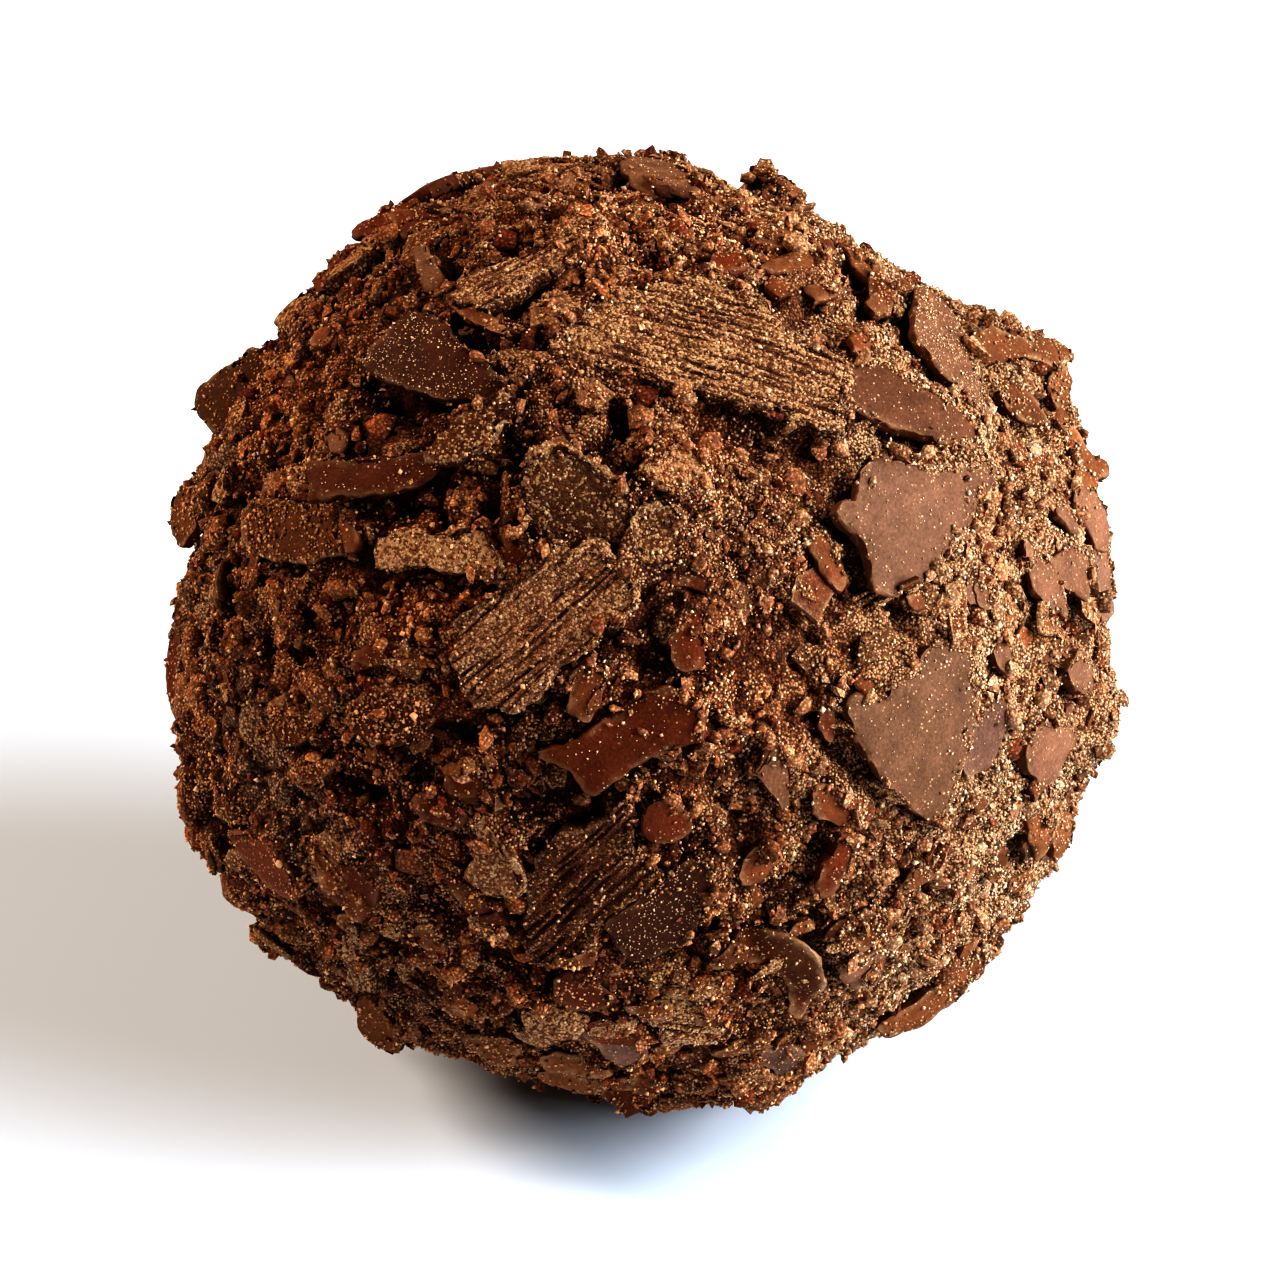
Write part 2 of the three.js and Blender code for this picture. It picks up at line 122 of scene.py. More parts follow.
# The flakes: name, kind, longitude (0 at the front, + to the right), latitude, spin, lift, tip, lean, outline in mm.
FLAKES = [
    ("slab_top", "ridged", 20.5, 66.8, -30, 0.15, 3, 2,
     [(-4.83, -1.76), (-4.75, -0.61), (-4.26, 0.42), (-2.3, 1.68), (-0.32, 2.6), (0.67, 1.81), (1.92, 1.25), (2.31, 0.59), (3.24, 0.25), (4.22, 0.11), (4.68, -0.53), (4.4, -1.38), (4.48, -2.61), (-1.17, -2.47)]),
    ("slab_mid", "ridged", -14.1, 30.5, 48, 0.25, 2, 3,
     [(1.48, 1.69), (2.24, 1.57), (2.51, 1), (3.13, 0.67), (3.17, -1.27), (2.09, -1.69), (-2.54, -1.51), (-3.19, -0.53), (-2.88, 1.06), (-2.17, 1.6)]),
    ("slab_low", "ridged", -7.4, -0.1, 42, 0.05, 0, 2,
     [(0.74, 1.76), (3.23, 1.31), (3.01, 0.71), (2.1, 0.01), (2.25, -1.37), (1.81, -1.72), (-0.46, -1.6), (-1.73, -1.79), (-3.23, -1.53), (-2.67, -0.02), (-1.57, 0.92)]),
    ("slab_rolled", "ridged", -51.5, 73.9, 80, 0.2, 0, 0,
     [(-2.97, 0.51), (-1.96, 1.07), (-0.36, 0.49), (1.2, 0.6), (2.94, 1.13), (2.36, -0.38), (0.28, -1.06), (-2.41, -1.11)]),
    ("chip_right", "smooth", 44.8, 39.5, 20, 0.3, 0, 2,
     [(-1, 2), (-0.24, 1.76), (2.37, -0.78), (3.62, -1.38), (2.74, -1.71), (0.58, -1.95), (-0.63, -1.82), (-1.9, -1.9), (-3.46, -1.28), (-3.64, -0.8), (-2.9, 0.48), (-3.01, 1.34), (-2.9, 1.82), (-2.43, 1.82), (-2.11, 1.51)]),
    ("chip_low_right", "smooth", 34.4, 15.7, 50, 0.35, -2, 2,
     [(-0.92, 2.67), (-0.44, 2.62), (0.17, 1.42), (0.8, 1.62), (1.43, 0.97), (2.28, 0.59), (2.75, -0.13), (2.76, -1.4), (1.97, -1.54), (1, -2.24), (0.12, -2.48), (-2.55, -2.65), (-2.75, -2.14), (-2.43, 0.13), (-1.57, 1.87)]),
    ("chip_upper", "smooth", 55.6, 47.6, -58, 0.2, 0, -3,
     [(-2.82, 0.55), (-2.48, 1), (-1.38, 1.28), (2.86, 1.22), (2.12, 0.02), (0.77, -0.76), (-0.98, -1.26), (-2.51, -1.1), (-2.83, -0.1)]),
    ("chip_under", "smooth", 46.2, 10, 45, 0.1, 0, 0,
     [(0.02, 1.22), (0.62, 1.06), (1.24, 0.43), (0.78, -0.39), (-1.21, -0.39), (-1.89, 0.38), (-1.77, 0.76)]),
    ("chip_small", "smooth", 56.4, 3.6, -60, 0.3, 2, 0,
     [(-1.28, -1.13), (-1.54, -0.39), (-0.95, 0.26), (0.43, 1.15), (1.26, 1.09), (1.12, -0.64), (0.63, -1.29), (-0.69, -1.33)]),
    ("chip_speckled", "smooth", 78.2, 52, 32, 0.25, 0, 0,
     [(2.27, 0.02), (2.45, -0.65), (1.5, -1.12), (0.37, -1.09), (-1.05, -0.72), (-2.43, -1.16), (-2.17, -0.48), (-1.4, 0.19), (-0.97, 1.17), (-0.17, 1.13)]),
    ("chip_long", "dark", -2.2, 18.2, 30, 0.3, 0, -3,
     [(-2.65, 0.88), (-0.73, 0.82), (0.96, 1.09), (1.99, 0.83), (2.64, -0.17), (2.05, -1.1), (0.36, -0.8), (-1.78, -1.03), (-2.02, 0.01)]),
    ("chip_fold", "dark", -48.2, 57, 2, 0.35, 4, 3,
     [(-3.18, -1.33), (-2.83, 0.52), (-2.39, 1.37), (-0.99, 1.51), (0, 0.84), (1.31, 0.67), (3.04, 0.11), (3.16, -0.36), (1.22, -0.63), (0.39, -1), (-0.03, -1.45)]),
    ("chip_fold_lower", "dusty", -35.5, 51.5, 63, 0.1, 0, 0,
     [(1.72, -0.38), (1.36, -0.69), (0.01, -0.81), (-1.31, -0.61), (-1.69, 0.2), (-1.66, 0.77), (-1.09, 0.66), (0.25, 0.81)]),
    ("bar_left", "dark", -48.1, 41.1, 25, 0.35, 0, 4,
     [(-1.95, 0.88), (2.17, 0.71), (2.77, 0.41), (2.52, -0.1), (1.87, -0.46), (-1.75, -0.87), (-2.0, -0.8)]),
    ("bar_dusty", "dusty", -30.3, 36.9, 10, 0.2, 0, 3,
     [(-2.32, -0.44), (-2.19, 0.14), (1.68, 0.75), (2.34, -0.71), (-2.15, -0.76)]),
    ("shell_centre", "dusty", -9, 44.6, -10, 0.1, 0, 4,
     [(-2.48, 0.75), (-1.32, 1.32), (0.69, 0.77), (1.37, 1.1), (2.27, 0.79), (2.48, -0.49), (1.42, -1.29), (-1.87, -1.29)]),
    ("chip_dark_low", "dark", 3.3, -3.6, 45, 0, 0, 0,
     [(-1.75, 1.19), (1.7, 1.13), (2.38, 0.34), (1.54, -0.41), (0.47, -0.92), (-0.69, -1.19), (-2.35, -0.58), (-2.29, 0.42)]),
    ("chip_lower_left", "dark", -49.7, -8.8, 32, 0.1, 0, 0,
     [(-1.63, 1.26), (0.24, 1.25), (1.52, 0.92), (1.61, -0.1), (1.48, -1.24), (0.08, -1.28), (-0.69, -0.43)]),
    ("chip_hollow", "dark", -33.9, -5, 45, 0, 0, 0,
     [(-0.85, 0.74), (1.23, 0.38), (1.93, 0.53), (-0.39, -0.74), (-1.75, -0.71), (-1.94, 0.32)]),
    ("strip_low", "ridged", -37.3, -18, 78, 0.2, 0, 0,
     [(1.74, 0.61), (2.14, -0.31), (-0.94, -0.6), (-2.17, 0.09), (-1.64, 0.63)]),
    ("chip_frosted", "dusty", -18.5, 2.3, -65, 0.15, 0, 0,
     [(-1.49, 0.19), (-1.4, 0.8), (1.22, 0.92), (1.49, 0.5), (1.34, -0.54), (0.49, -0.91), (-0.02, -0.25)]),
    ("chip_red", "dark", 5.8, 29.7, 68, 0.1, 0, 0,
     [(-0.32, 0.69), (0.96, 0.43), (1.07, -0.39), (0.83, -0.64), (0.23, -0.41), (-0.67, -0.66), (-1.09, -0.21), (-0.79, 0.33)]),
    ("curl_low", "dark", 18, -14, -60, 0.1, 0, 0,
     [(-2.66, -0.98), (-2.83, -0.53), (-2.14, 0.54), (-1.08, 0.94), (-0.23, 0.91), (0.02, 0.24), (2.62, -0.38), (2.86, -0.95), (1.3, -0.88), (-0.37, -0.5), (-1.83, -0.57)]),
    ("chip_top_a", "smooth", 87.7, 73.9, 0, 0.15, 0, 0,
     [(-0.38, 0.8), (0.93, 0.09), (1.34, -0.8), (0.36, -0.7), (-0.73, -0.22), (-1.04, 0.77)]),
    ("chip_top_b", "smooth", 69.4, 71.3, 0, 0.15, 0, 0,
     [(-0.94, 0.7), (0.21, 0.49), (1.17, 0), (1.45, -1.11), (-0.32, -0.54), (-1.12, 0.52)]),
    ("pellet_front", "dark", 2.5, 8.4, -45, 0.2, 0, 0,
     [(-0.78, -0.37), (-0.84, 0.27), (-0.57, 0.66), (0.33, 0.68), (0.81, 0.29), (0.71, -0.41), (0.02, -0.69)]),
    ("pellet_right", "dark", 22.1, 0.5, 70, 0.25, 0, 0,
     [(-0.71, 0.33), (0.18, 0.49), (0.96, 0.29), (1.09, -0.21), (0.69, -0.46), (-0.99, -0.45), (-1.11, -0.12)]),
    ("chip_bottom", "dark", -4, -24.9, 0, 0.15, 0, 0,
     [(-0.95, 0.73), (-0.29, 1.26), (1, 0.29), (0.79, -1.2), (0.1, -1.44), (-0.66, -0.11)]),
    ("slab_layers", "ridged", 4.9, -21.3, 12, 0.1, 0, 0,
     [(-1.36, 1.22), (0.45, 1.21), (1.38, -1.22), (-0.84, -1.52)]),
    ("chip_f35", "smooth", 15.4, 12.8, 0, 0.15, 0, 0,
     [(0.03, 1.18), (0.38, 0.54), (0.46, -0.3), (0.23, -1.17), (-0.72, 0.2)]),
    ("chip_f15", "smooth", 64, 8.9, 0, 0.15, 0, 0,
     [(-0.87, 0.67), (-0.01, 0.86), (1.03, -0.04), (0.98, -1.12), (-0.05, -0.7), (-0.67, 0.1)]),
    ("chip_rim", "smooth", 77.8, 14.2, 62, 0.3, 0, 0,
     [(-0.99, -0.95), (1.22, -0.95), (1.3, 0), (0.88, 0.95), (-1.22, 0.95), (-1.3, 0.1)]),
    ("chip_left_edge", "dark", -97.4, 31.5, 22, 0.7, 8, 6,
     [(-1.26, -1.3), (0.7, -1.3), (1.75, 0), (1.15, 1.3), (-1.57, 1.3), (-1.75, 0.1)]),
    ("chip_crown", "smooth", 176, 74.5, -65, 0.3, 0, 0,
     [(-1.93, -0.8), (0.92, -0.8), (2.3, 0), (1.01, 0.8), (-2.02, 0.8), (-2.3, 0.1)]),
    ("slab_back", "ridged", 156, 34, 24, 0.2, 0, 2,
     [(-3.42, -2), (3.42, -2), (3.8, 0), (1.52, 2), (-2.66, 2), (-3.8, 0.1)]),
    ("slab_back_low", "ridged", -128, -6, -38, 0.15, 0, 0,
     [(-1.86, -1.6), (2.48, -1.6), (3.1, 0), (1.86, 1.6), (-2.79, 1.6), (-3.1, 0.1)]),
    ("chip_back_wide", "smooth", -168, 12, 66, 0.3, 2, 0,
     [(-2.97, -2.15), (0.99, -2.15), (3.3, 0), (2.64, 2.15), (-1.98, 2.15), (-3.3, 0.1)]),
    ("chip_back_low", "smooth", 138, -12, -20, 0.25, 0, 2,
     [(-2.08, -1.55), (2.08, -1.55), (2.6, 0), (0.78, 1.55), (-2.18, 1.55), (-2.6, 0.1)]),
    ("chip_back_dark", "dark", -146, 47, 12, 0.3, 0, 3,
     [(-1.68, -1.35), (1.12, -1.35), (2.8, 0), (2.52, 1.35), (-2.24, 1.35), (-2.8, 0.1)]),
    ("chip_back_long", "dark", 112, 4, 74, 0.25, 0, 0,
     [(-2, -0.95), (1.5, -0.95), (2.5, 0), (2, 0.95), (-2.25, 0.95), (-2.5, 0.1)]),
    ("bar_back", "dusty", -112, 54, -52, 0.2, 0, 0,
     [(-1.84, -0.85), (2.07, -0.85), (2.3, 0), (1.38, 0.85), (-2.07, 0.85), (-2.3, 0.1)]),
    ("chip_back_small", "smooth", 178, -24, -8, 0.2, 0, 0,
     [(-1.08, -1.2), (1.44, -1.2), (1.8, 0), (1.44, 1.2), (-1.08, 1.2), (-1.8, 0.1)]),
    ("chip_side", "smooth", -92, -2, 56, 0.2, 0, 0,
     [(-1.2, -1.25), (1.68, -1.25), (2, 0), (1.2, 1.25), (-1.6, 1.25), (-2, 0.1)]),]

# Smaller flakes between them.
CHIPS = [
    ("f25d", "dark", 45.6, 76.4, -48, 0.15, 0, 0,
     [(-0.62, -0.5), (-0.41, 0.54), (0.57, 0.56), (0.59, 0), (-0.13, -0.49)]),
    ("rod1", "red", -51.6, 64.1, -3, 0.15, 0, 0,
     [(-1.81, 0.01), (-1.73, 0.26), (1.78, 0.21), (1.78, -0.05), (0.48, -0.3), (-1.07, -0.22)]),
    ("f31", "dusty", 1.9, 40.4, 0, 0.15, 0, 0,
     [(-0.9, -0.19), (-0.57, 0.51), (0.46, 0.68), (0.86, 0.26), (0.75, -0.63), (-0.59, -0.6)]),
    ("f32", "dark", 7.8, 36, -24, 0.15, 0, 0,
     [(-0.88, -0.28), (0.01, 0.3), (0.65, 0.27), (0.22, -0.29)]),
    ("bardark", "dark", -18.5, 38.6, -39, 0.15, 0, 0,
     [(-0.74, -0.07), (-0.55, 0.32), (0.54, 0.4), (0.53, -0.47), (0.07, -0.6)]),
    ("f8", "red", -7.3, 23.3, 72, 0.15, 0, 0,
     [(0.2, 0.62), (0.74, 0.45), (0.92, -0.42), (-0.84, -0.42), (-0.79, 0.14)]),
    ("rod34", "red", 26.9, 36.1, -75, 0.15, 0, 0,
     [(-0.97, -0.38), (-0.87, 0.41), (-0.28, 0.43), (0.78, 0.13), (1.04, -0.18), (0.31, -0.34)]),
    ("f36", "dark", 22.5, 18.2, 84, 0.15, 0, 0,
     [(0.95, 0.29), (0.55, -0.24), (-0.25, -0.29), (-0.91, -0.12), (-0.35, 0.32)]),
    ("f22", "dark", -21.1, 10.6, 15, 0.15, 0, 0,
     [(-0.5, 0.44), (0.26, 0.59), (0.85, 0.12), (0.54, -0.56), (-0.43, -0.57), (-0.77, -0.05)]),
    ("f42", "dark", -24.4, 6.5, -6, 0.15, 0, 0,
     [(-0.97, 0.07), (-0.26, 0.33), (0.63, 0.28), (0.86, -0.11), (0.26, -0.31), (-0.56, -0.32)]),
    ("f43", "red", -26.8, -11.2, 66, 0.15, 0, 0,
     [(0.22, 0.39), (0.48, -0.02), (0.26, -0.39), (-0.5, -0.24), (-0.5, 0.25)]),
    ("f44", "red", 13.2, 2.1, 39, 0.15, 0, 0,
     [(-0.69, 0.17), (-0.05, 0.44), (0.58, 0.44), (0.82, -0.08), (0.41, -0.43), (-0.22, -0.44), (-0.87, -0.17)]),
    ("f46", "red", 22.7, 7.7, -45, 0.15, 0, 0,
     [(-1.08, 0.02), (-0.63, 0.44), (0.68, 0.43), (0.91, 0.09), (0.57, -0.36), (-0.36, -0.63)]),
    ("f47", "dark", -7.4, -17.1, -9, 0.15, 0, 0,
     [(-1.4, -0.41), (-0.63, 0.37), (1.03, 0.29), (0.85, -0.42)]),
    ("f52", "smooth", 26.9, -16.9, 6, 0.15, 0, 0,
     [(-0.8, 0.47), (0.97, 0.49), (0.86, -0.46), (0.08, -1.16), (-0.66, -0.09)]),
    ("f53", "smooth", 54.5, -8.3, 57, 0.15, 0, 0,
     [(-0.51, 0.52), (0.61, 0.47), (0.92, -0.35), (0.25, -0.94), (-0.59, -0.95), (-0.82, -0.12)]),
    ("f38", "smooth", 61, 26.8, 30, 0.15, 0, 0,
     [(0.23, 0.31), (0.44, -0.39), (-0.08, -0.27), (-0.56, 0.31)]),
    ("f39", "smooth", 73.1, 25.3, -42, 0.15, 0, 0,
     [(-0.94, 0.35), (0.94, 0.35), (1.05, -0.04), (0.11, -0.47), (-0.86, -0.08)]),
    ("f37", "smooth", 62, 21.7, -33, 0.15, 0, 0,
     [(-1.05, 0.92), (0.57, 0.89), (1.29, -0.88), (-0.47, -0.54), (-0.97, 0.05)]),
    ("f40", "smooth", 48.1, 26.6, -27, 0.15, 0, 0,
     [(-0.23, 0.35), (0.44, 0.29), (0.44, -0.29), (-0.23, -0.45), (-0.37, 0.11)]),
    ("orange", "red", -81, 49.2, 21, 0.15, 0, 0,
     [(-0.62, -0.25), (-0.49, 0.43), (0.44, 0.45), (0.55, -0.17), (-0.01, -0.44)]),
    ("pink", "smooth", -56.8, 42.7, -27, 0.15, 0, 0,
     [(-0.6, -0.3), (-0.57, 0.08), (0.04, 0.36), (0.63, 0.1), (0.44, -0.27)]),
    ("left1", "dark", -63.9, 28.1, -27, 0.15, 0, 0,
     [(-1.24, -0.55), (-0.54, 0.67), (0.89, 0.67), (0.84, -0.24), (-0.15, -0.76)]),
    ("left2", "red", -46.1, 35.1, -45, 0.15, 0, 0,
     [(-0.91, -0.18), (-0.6, 0.34), (0.75, 0.35), (0.76, -0.28)]),
    ("left3", "dark", -35.4, 22.8, 45, 0.15, 0, 0,
     [(-1.02, 0.24), (0.06, 0.39), (0.96, 0.08), (1.04, -0.32), (-0.13, -0.33), (-0.99, -0.02)]),
    ("left4", "dark", -33.7, 16, 51, 0.15, 0, 0,
     [(-0.83, 0.79), (0.12, 0.69), (0.77, -0.02), (0.76, -0.6), (-0.09, -0.72), (-0.83, -0.1)]),
    ("left5", "dusty", -45.7, 12.6, 39, 0.15, 0, 0,
     [(-1.15, 0.59), (0.35, 0.63), (1.29, -0.01), (1.09, -0.62), (-0.56, -0.61), (-1.32, 0.06)]),
    ("r1", "smooth", 78.6, 59.4, -15, 0.15, 0, 0,
     [(-0.89, 0.37), (1.02, 0.43), (1.09, -0.17), (0.16, -0.4), (-1.09, -0.19)]),
    ("r2", "smooth", 91.9, 62.4, 15, 0.15, 0, 0,
     [(1.04, 0.42), (1, -0.35), (-0.31, -0.59), (-1.02, -0.08), (-0.4, 0.42)]),
    ("r3", "red", 58, 58.4, -15, 0.15, 0, 0,
     [(-0.33, 0.31), (0.66, 0.35), (0.23, -0.31), (-0.52, -0.32)]),
    ("r4", "smooth", 65.6, 66.1, -21, 0.15, 0, 0,
     [(-0.55, 0.33), (0.7, 0.31), (0.7, -0.19), (-0.75, -0.39)]),
    ("r5", "red", 54.6, 69.9, -27, 0.15, 0, 0,
     [(-0.38, 0.35), (0.48, 0.35), (0.3, -0.22), (-0.36, -0.43)]),
    ("c1", "red", 38.1, 28.8, -84, 0.15, 0, 0,
     [(-0.41, -0.06), (-0.16, 0.34), (0.34, 0.3), (0.35, -0.23), (-0.11, -0.34)]),
    ("c2", "red", 42.2, 22.1, -42, 0.15, 0, 0,
     [(-0.57, 0.21), (0.33, 0.24), (0.45, -0.26), (-0.18, -0.18)]),
    ("c3", "red", 29, 21.2, -3, 0.15, 0, 0,
     [(-0.44, 0.28), (0.46, 0.29), (0.4, -0.4), (-0.4, -0.18)]),
]

# ---- repeatable unevenness ----
def hashed(i, j, k, salt):
    """0 to 1 for the points of a whole-number lattice."""
    h = i * 374761393 + j * 668265263 + k * 2147483647 + salt * 1274126177
    h = (h & 0xFFFFFFFF).astype(np.uint32)
    h = (h ^ (h >> np.uint32(13))) * np.uint32(1274126177)
    h = (h ^ (h >> np.uint32(16))) * np.uint32(2246822519)
    return (h ^ (h >> np.uint32(15))).astype(np.float64) / 4294967296.0


def noise(P, salt):
    """Smooth noise, -1 to 1, one swell to each unit of P."""
    c = np.floor(P).astype(np.int64)
    f = P - c
    f = f * f * (3 - 2 * f)
    total = np.zeros(len(P))
    for n in range(8):
        b = (n & 1, (n >> 1) & 1, (n >> 2) & 1)
        w = np.ones(len(P))
        for a in range(3):
            w *= f[:, a] if b[a] else 1 - f[:, a]
        total += w * hashed(c[:, 0] + b[0], c[:, 1] + b[1], c[:, 2] + b[2], salt)
    return total * 2 - 1


def wander(P, salt):
    return np.stack([noise(P, salt), noise(P, salt + 1), noise(P, salt + 2)], 1)


def cells(P, salt):
    """Clods: distance to the nearest and the second nearest seed, a fraction for the clod, and its tilted facet."""
    c = np.floor(P).astype(np.int64)
    n = len(P)
    d1, d2 = np.full(n, 9.0), np.full(n, 9.0)
    seed, at = np.zeros((n, 3)), np.zeros((n, 3), np.int64)
    for i in (-1, 0, 1):
        for j in (-1, 0, 1):
            for k in (-1, 0, 1):
                q = c + (i, j, k)
                s = np.stack([q[:, a] + hashed(q[:, 0], q[:, 1], q[:, 2], salt + a) for a in range(3)], 1)
                d = np.sqrt(((P - s) ** 2).sum(1))
                near = d < d1
                d2 = np.where(near, d1, np.minimum(d2, d))
                d1 = np.where(near, d, d1)
                seed[near], at[near] = s[near], q[near]
    tilt = np.stack([hashed(at[:, 0], at[:, 1], at[:, 2], salt + a) - 0.5 for a in (5, 6, 7)], 1)
    part = hashed(at[:, 0], at[:, 1], at[:, 2], salt + 9)
    facet = ((P - seed) * tilt).sum(1) * 1.4 + part - 0.5 - 0.7 * np.maximum(0, 1 - (d2 - d1) / 0.3)
    return d1, d2, part, facet


def step(a, b, x):
    t = np.clip((x - a) / (b - a), 0, 1)
    return t * t * (3 - 2 * t)


# ---- places on the ball ----
def direction(lon, lat):
    lo, la = math.radians(lon), math.radians(lat)
    return np.array([math.sin(lo) * math.cos(la), -math.cos(lo) * math.cos(la), math.sin(la)])


def smooth_radius(D):
    """Radius of the coat between the flakes, without its clods, for unit directions D."""
    up = math.sin(LEAN) * D[:, 1] + math.cos(LEAN) * D[:, 2]
    reach, turn = np.hypot(D[:, 0], up), np.arctan2(up, D[:, 0])
    r = np.full(len(D), BALL_RADIUS)
    for n, a, b in LOBES:
        r += reach**n * (a * np.cos(n * turn) + b * np.sin(n * turn))
    for lon, lat, high, wide in LUMPS:
        away = np.arccos(np.clip(D @ direction(lon, lat), -1, 1)) * BALL_RADIUS
        r += high * np.exp(-((away / wide) ** 2))
    for turn, high, wide in OUTLINE:
        turn = math.radians(turn)
        away = np.linalg.norm(D - seen(MIDDLE[0] + 464 * math.cos(turn), MIDDLE[1] - 464 * math.sin(turn)), axis=1) * BALL_RADIUS
        r += high * np.exp(-((away / wide) ** 2))
    return r + SWELL * noise(D * BALL_RADIUS / SWELL_SIZE, 3)


SIGHT = np.array([0, math.cos(LEAN), -math.sin(LEAN)])  # the way the camera looks
ACROSS, UPWARD = np.array([1.0, 0, 0]), np.array([0, math.sin(LEAN), math.cos(LEAN)])
AWAY = 215.05  # camera to the middle of the ball
MIDDLE = (645, 636)  # where the middle of the ball is in a picture 1280 wide


def seen(px, py, radius=16.0):
    """Unit direction of the point of the ball that shows at px, py of a picture 1280 wide."""
    ray = SIGHT + ACROSS * (px - MIDDLE[0]) * 0.1 / 640 + UPWARD * (MIDDLE[1] - py) * 0.1 / 640
    ray /= np.linalg.norm(ray)
    start = -SIGHT * AWAY
    b = start @ ray
    gap = b * b - (start @ start - radius * radius)
    p = start + ray * (-b - math.sqrt(max(gap, 0)))
    return p / np.linalg.norm(p)


def basis(out, spin=0, tip=0, lean=0):
    """Columns: along, across and out of a flake whose middle faces out."""
    east = np.array([-out[1], out[0], 0.0])
    east /= np.linalg.norm(east)
    north = np.cross(out, east)
    s, t, l = (math.radians(a) for a in (spin, tip, lean))
    rz = np.array([[math.cos(s), -math.sin(s), 0], [math.sin(s), math.cos(s), 0], [0, 0, 1]])
    ry = np.array([[math.cos(t), 0, -math.sin(t)], [0, 1, 0], [math.sin(t), 0, math.cos(t)]])
    rx = np.array([[1, 0, 0], [0, math.cos(l), -math.sin(l)], [0, math.sin(l), math.cos(l)]])
    return np.stack([east, north, out], 1) @ rz @ ry @ rx


def off_outline(XY, outline):
    """Distance of points from a closed outline, less than 0 inside it."""
    A = np.asarray(outline, float)
    B = np.roll(A, -1, 0)
    best = np.full(len(XY), 1e9)
    inside = np.zeros(len(XY), bool)
    for a, b in zip(A, B):
        e = b - a
        t = np.clip(((XY - a) @ e) / (e @ e + 1e-12), 0, 1)
        best = np.minimum(best, np.hypot(*(XY - a - t[:, None] * e).T))
        cross = (a[1] > XY[:, 1]) != (b[1] > XY[:, 1])
        inside ^= cross & (XY[:, 0] < (b[0] - a[0]) * (XY[:, 1] - a[1]) / (b[1] - a[1] + 1e-12) + a[0])
    return np.where(inside, -best, best)


# ---- flakes ----
# creases: where across the flake, direction in degrees, slope before it and after it
FOLDS = {
    "curl_low": (0.0, 90, -0.45, -0.5),
    "chip_upper": (0.4, 0, 0.05, 0.1),
}


class Flake:
    """One broken plate: where it sits, its outline and the shape of its face."""

    def __init__(self, row, salt, thick=None, bend=None, place=None):
        self.name, self.kind, lon, lat, spin, lift, tip, lean, outline = row
        self.salt = salt
        self.thick, self.along, self.across = KINDS[self.kind]
        self.thick = thick or self.thick
        if bend:
            self.along, self.across = bend
        self.outline = np.array(outline, float)
        if self.area() < 0:
            self.outline = self.outline[::-1]
        out = direction(lon, lat)
        self.M = basis(out, spin, tip, lean)
        self.at = out * (smooth_radius(out[None])[0] + 0.16 + lift)
        if place:
            self.at, self.M = place
        self.reach = np.hypot(*self.outline.T).max()
        self.spin = spin

    def area(self):
        x, y = self.outline.T
        return 0.5 * (x * np.roll(y, -1) - np.roll(x, -1) * y).sum()

    def local(self, P):
        return (P - self.at) @ self.M

    def world(self, L):
        return L @ self.M.T + self.at

    def face(self, x, y):
        """Height of the face, without its finest marks."""
        s = self.salt
        P = np.stack([x, y, np.full_like(x, s * 7.3)], 1)
        z = -x * x / (2 * self.along) - y * y / (2 * self.across)
        if self.name in FOLDS:
            at, slant, before, after = FOLDS[self.name]
            u = x * math.cos(math.radians(slant)) + y * math.sin(math.radians(slant)) - at + 0.25 * noise(P / 1.1, s + 31)
            z += before * np.minimum(u, 0) - after * np.maximum(u, 0)
        if self.kind == "ridged":
            z += 0.07 * noise(P / 1.9, s)
        elif self.kind == "dusty":
            z += 0.10 * noise(P / 1.3, s) + 0.04 * noise(P / 0.5, s + 3)
        else:
            z += 0.055 * noise(P / 1.6, s) + 0.015 * noise(P / 0.55, s + 3)
        return z

    def marks(self, x, y, slant=0.0, pitch=0.42, deep=1.0):
        """Shaving marks: long grooves of uneven spacing which fade in and out, between strips of uneven level."""
        s = self.salt
        c, n = math.cos(math.radians(slant)), math.sin(math.radians(slant))
        u, v = x * c + y * n, y * c - x * n
        flat = np.full_like(x, s * 3.1)
        v = v + 0.16 * noise(np.stack([u / 2.6, v / 1.6, flat], 1), s + 11)
        v = v + 0.045 * noise(np.stack([u / 0.6, v / 0.4, flat], 1), s + 12)
        w = v / pitch + 0.75 * noise(np.stack([u / 5, v / (pitch * 1.7), flat], 1), s + 13)
        i = np.floor(w)
        t = w - i
        level = noise(np.stack([u / 1.2, i * 5.7, flat], 1), s + 14)
        up_level = noise(np.stack([u / 1.2, (i + 1) * 5.7, flat], 1), s + 14)
        z = 0.09 * (level + (up_level - level) * step(0.75, 1.0, t)) + 0.05 * noise(np.stack([u / 0.35, v / 0.3, flat], 1), s + 18)
        depth = np.clip(0.5 + 0.8 * noise(np.stack([u / 1.1, np.round(w) * 3.3, flat], 1), s + 15), 0, 1)
        groove = np.exp(-((np.minimum(t, 1 - t) / 0.18) ** 2))
        z -= deep * 0.22 * depth * groove
        w2 = v / (pitch * 0.42) + 0.5 * noise(np.stack([u / 1.5, v / 0.4, flat], 1), s + 16)
        z -= deep * 0.06 * (0.5 + 0.5 * np.cos(w2 * 2 * math.pi)) * (0.6 + 0.4 * noise(np.stack([u / 0.9, v / 0.3, flat], 1), s + 17))
        return z, groove * depth


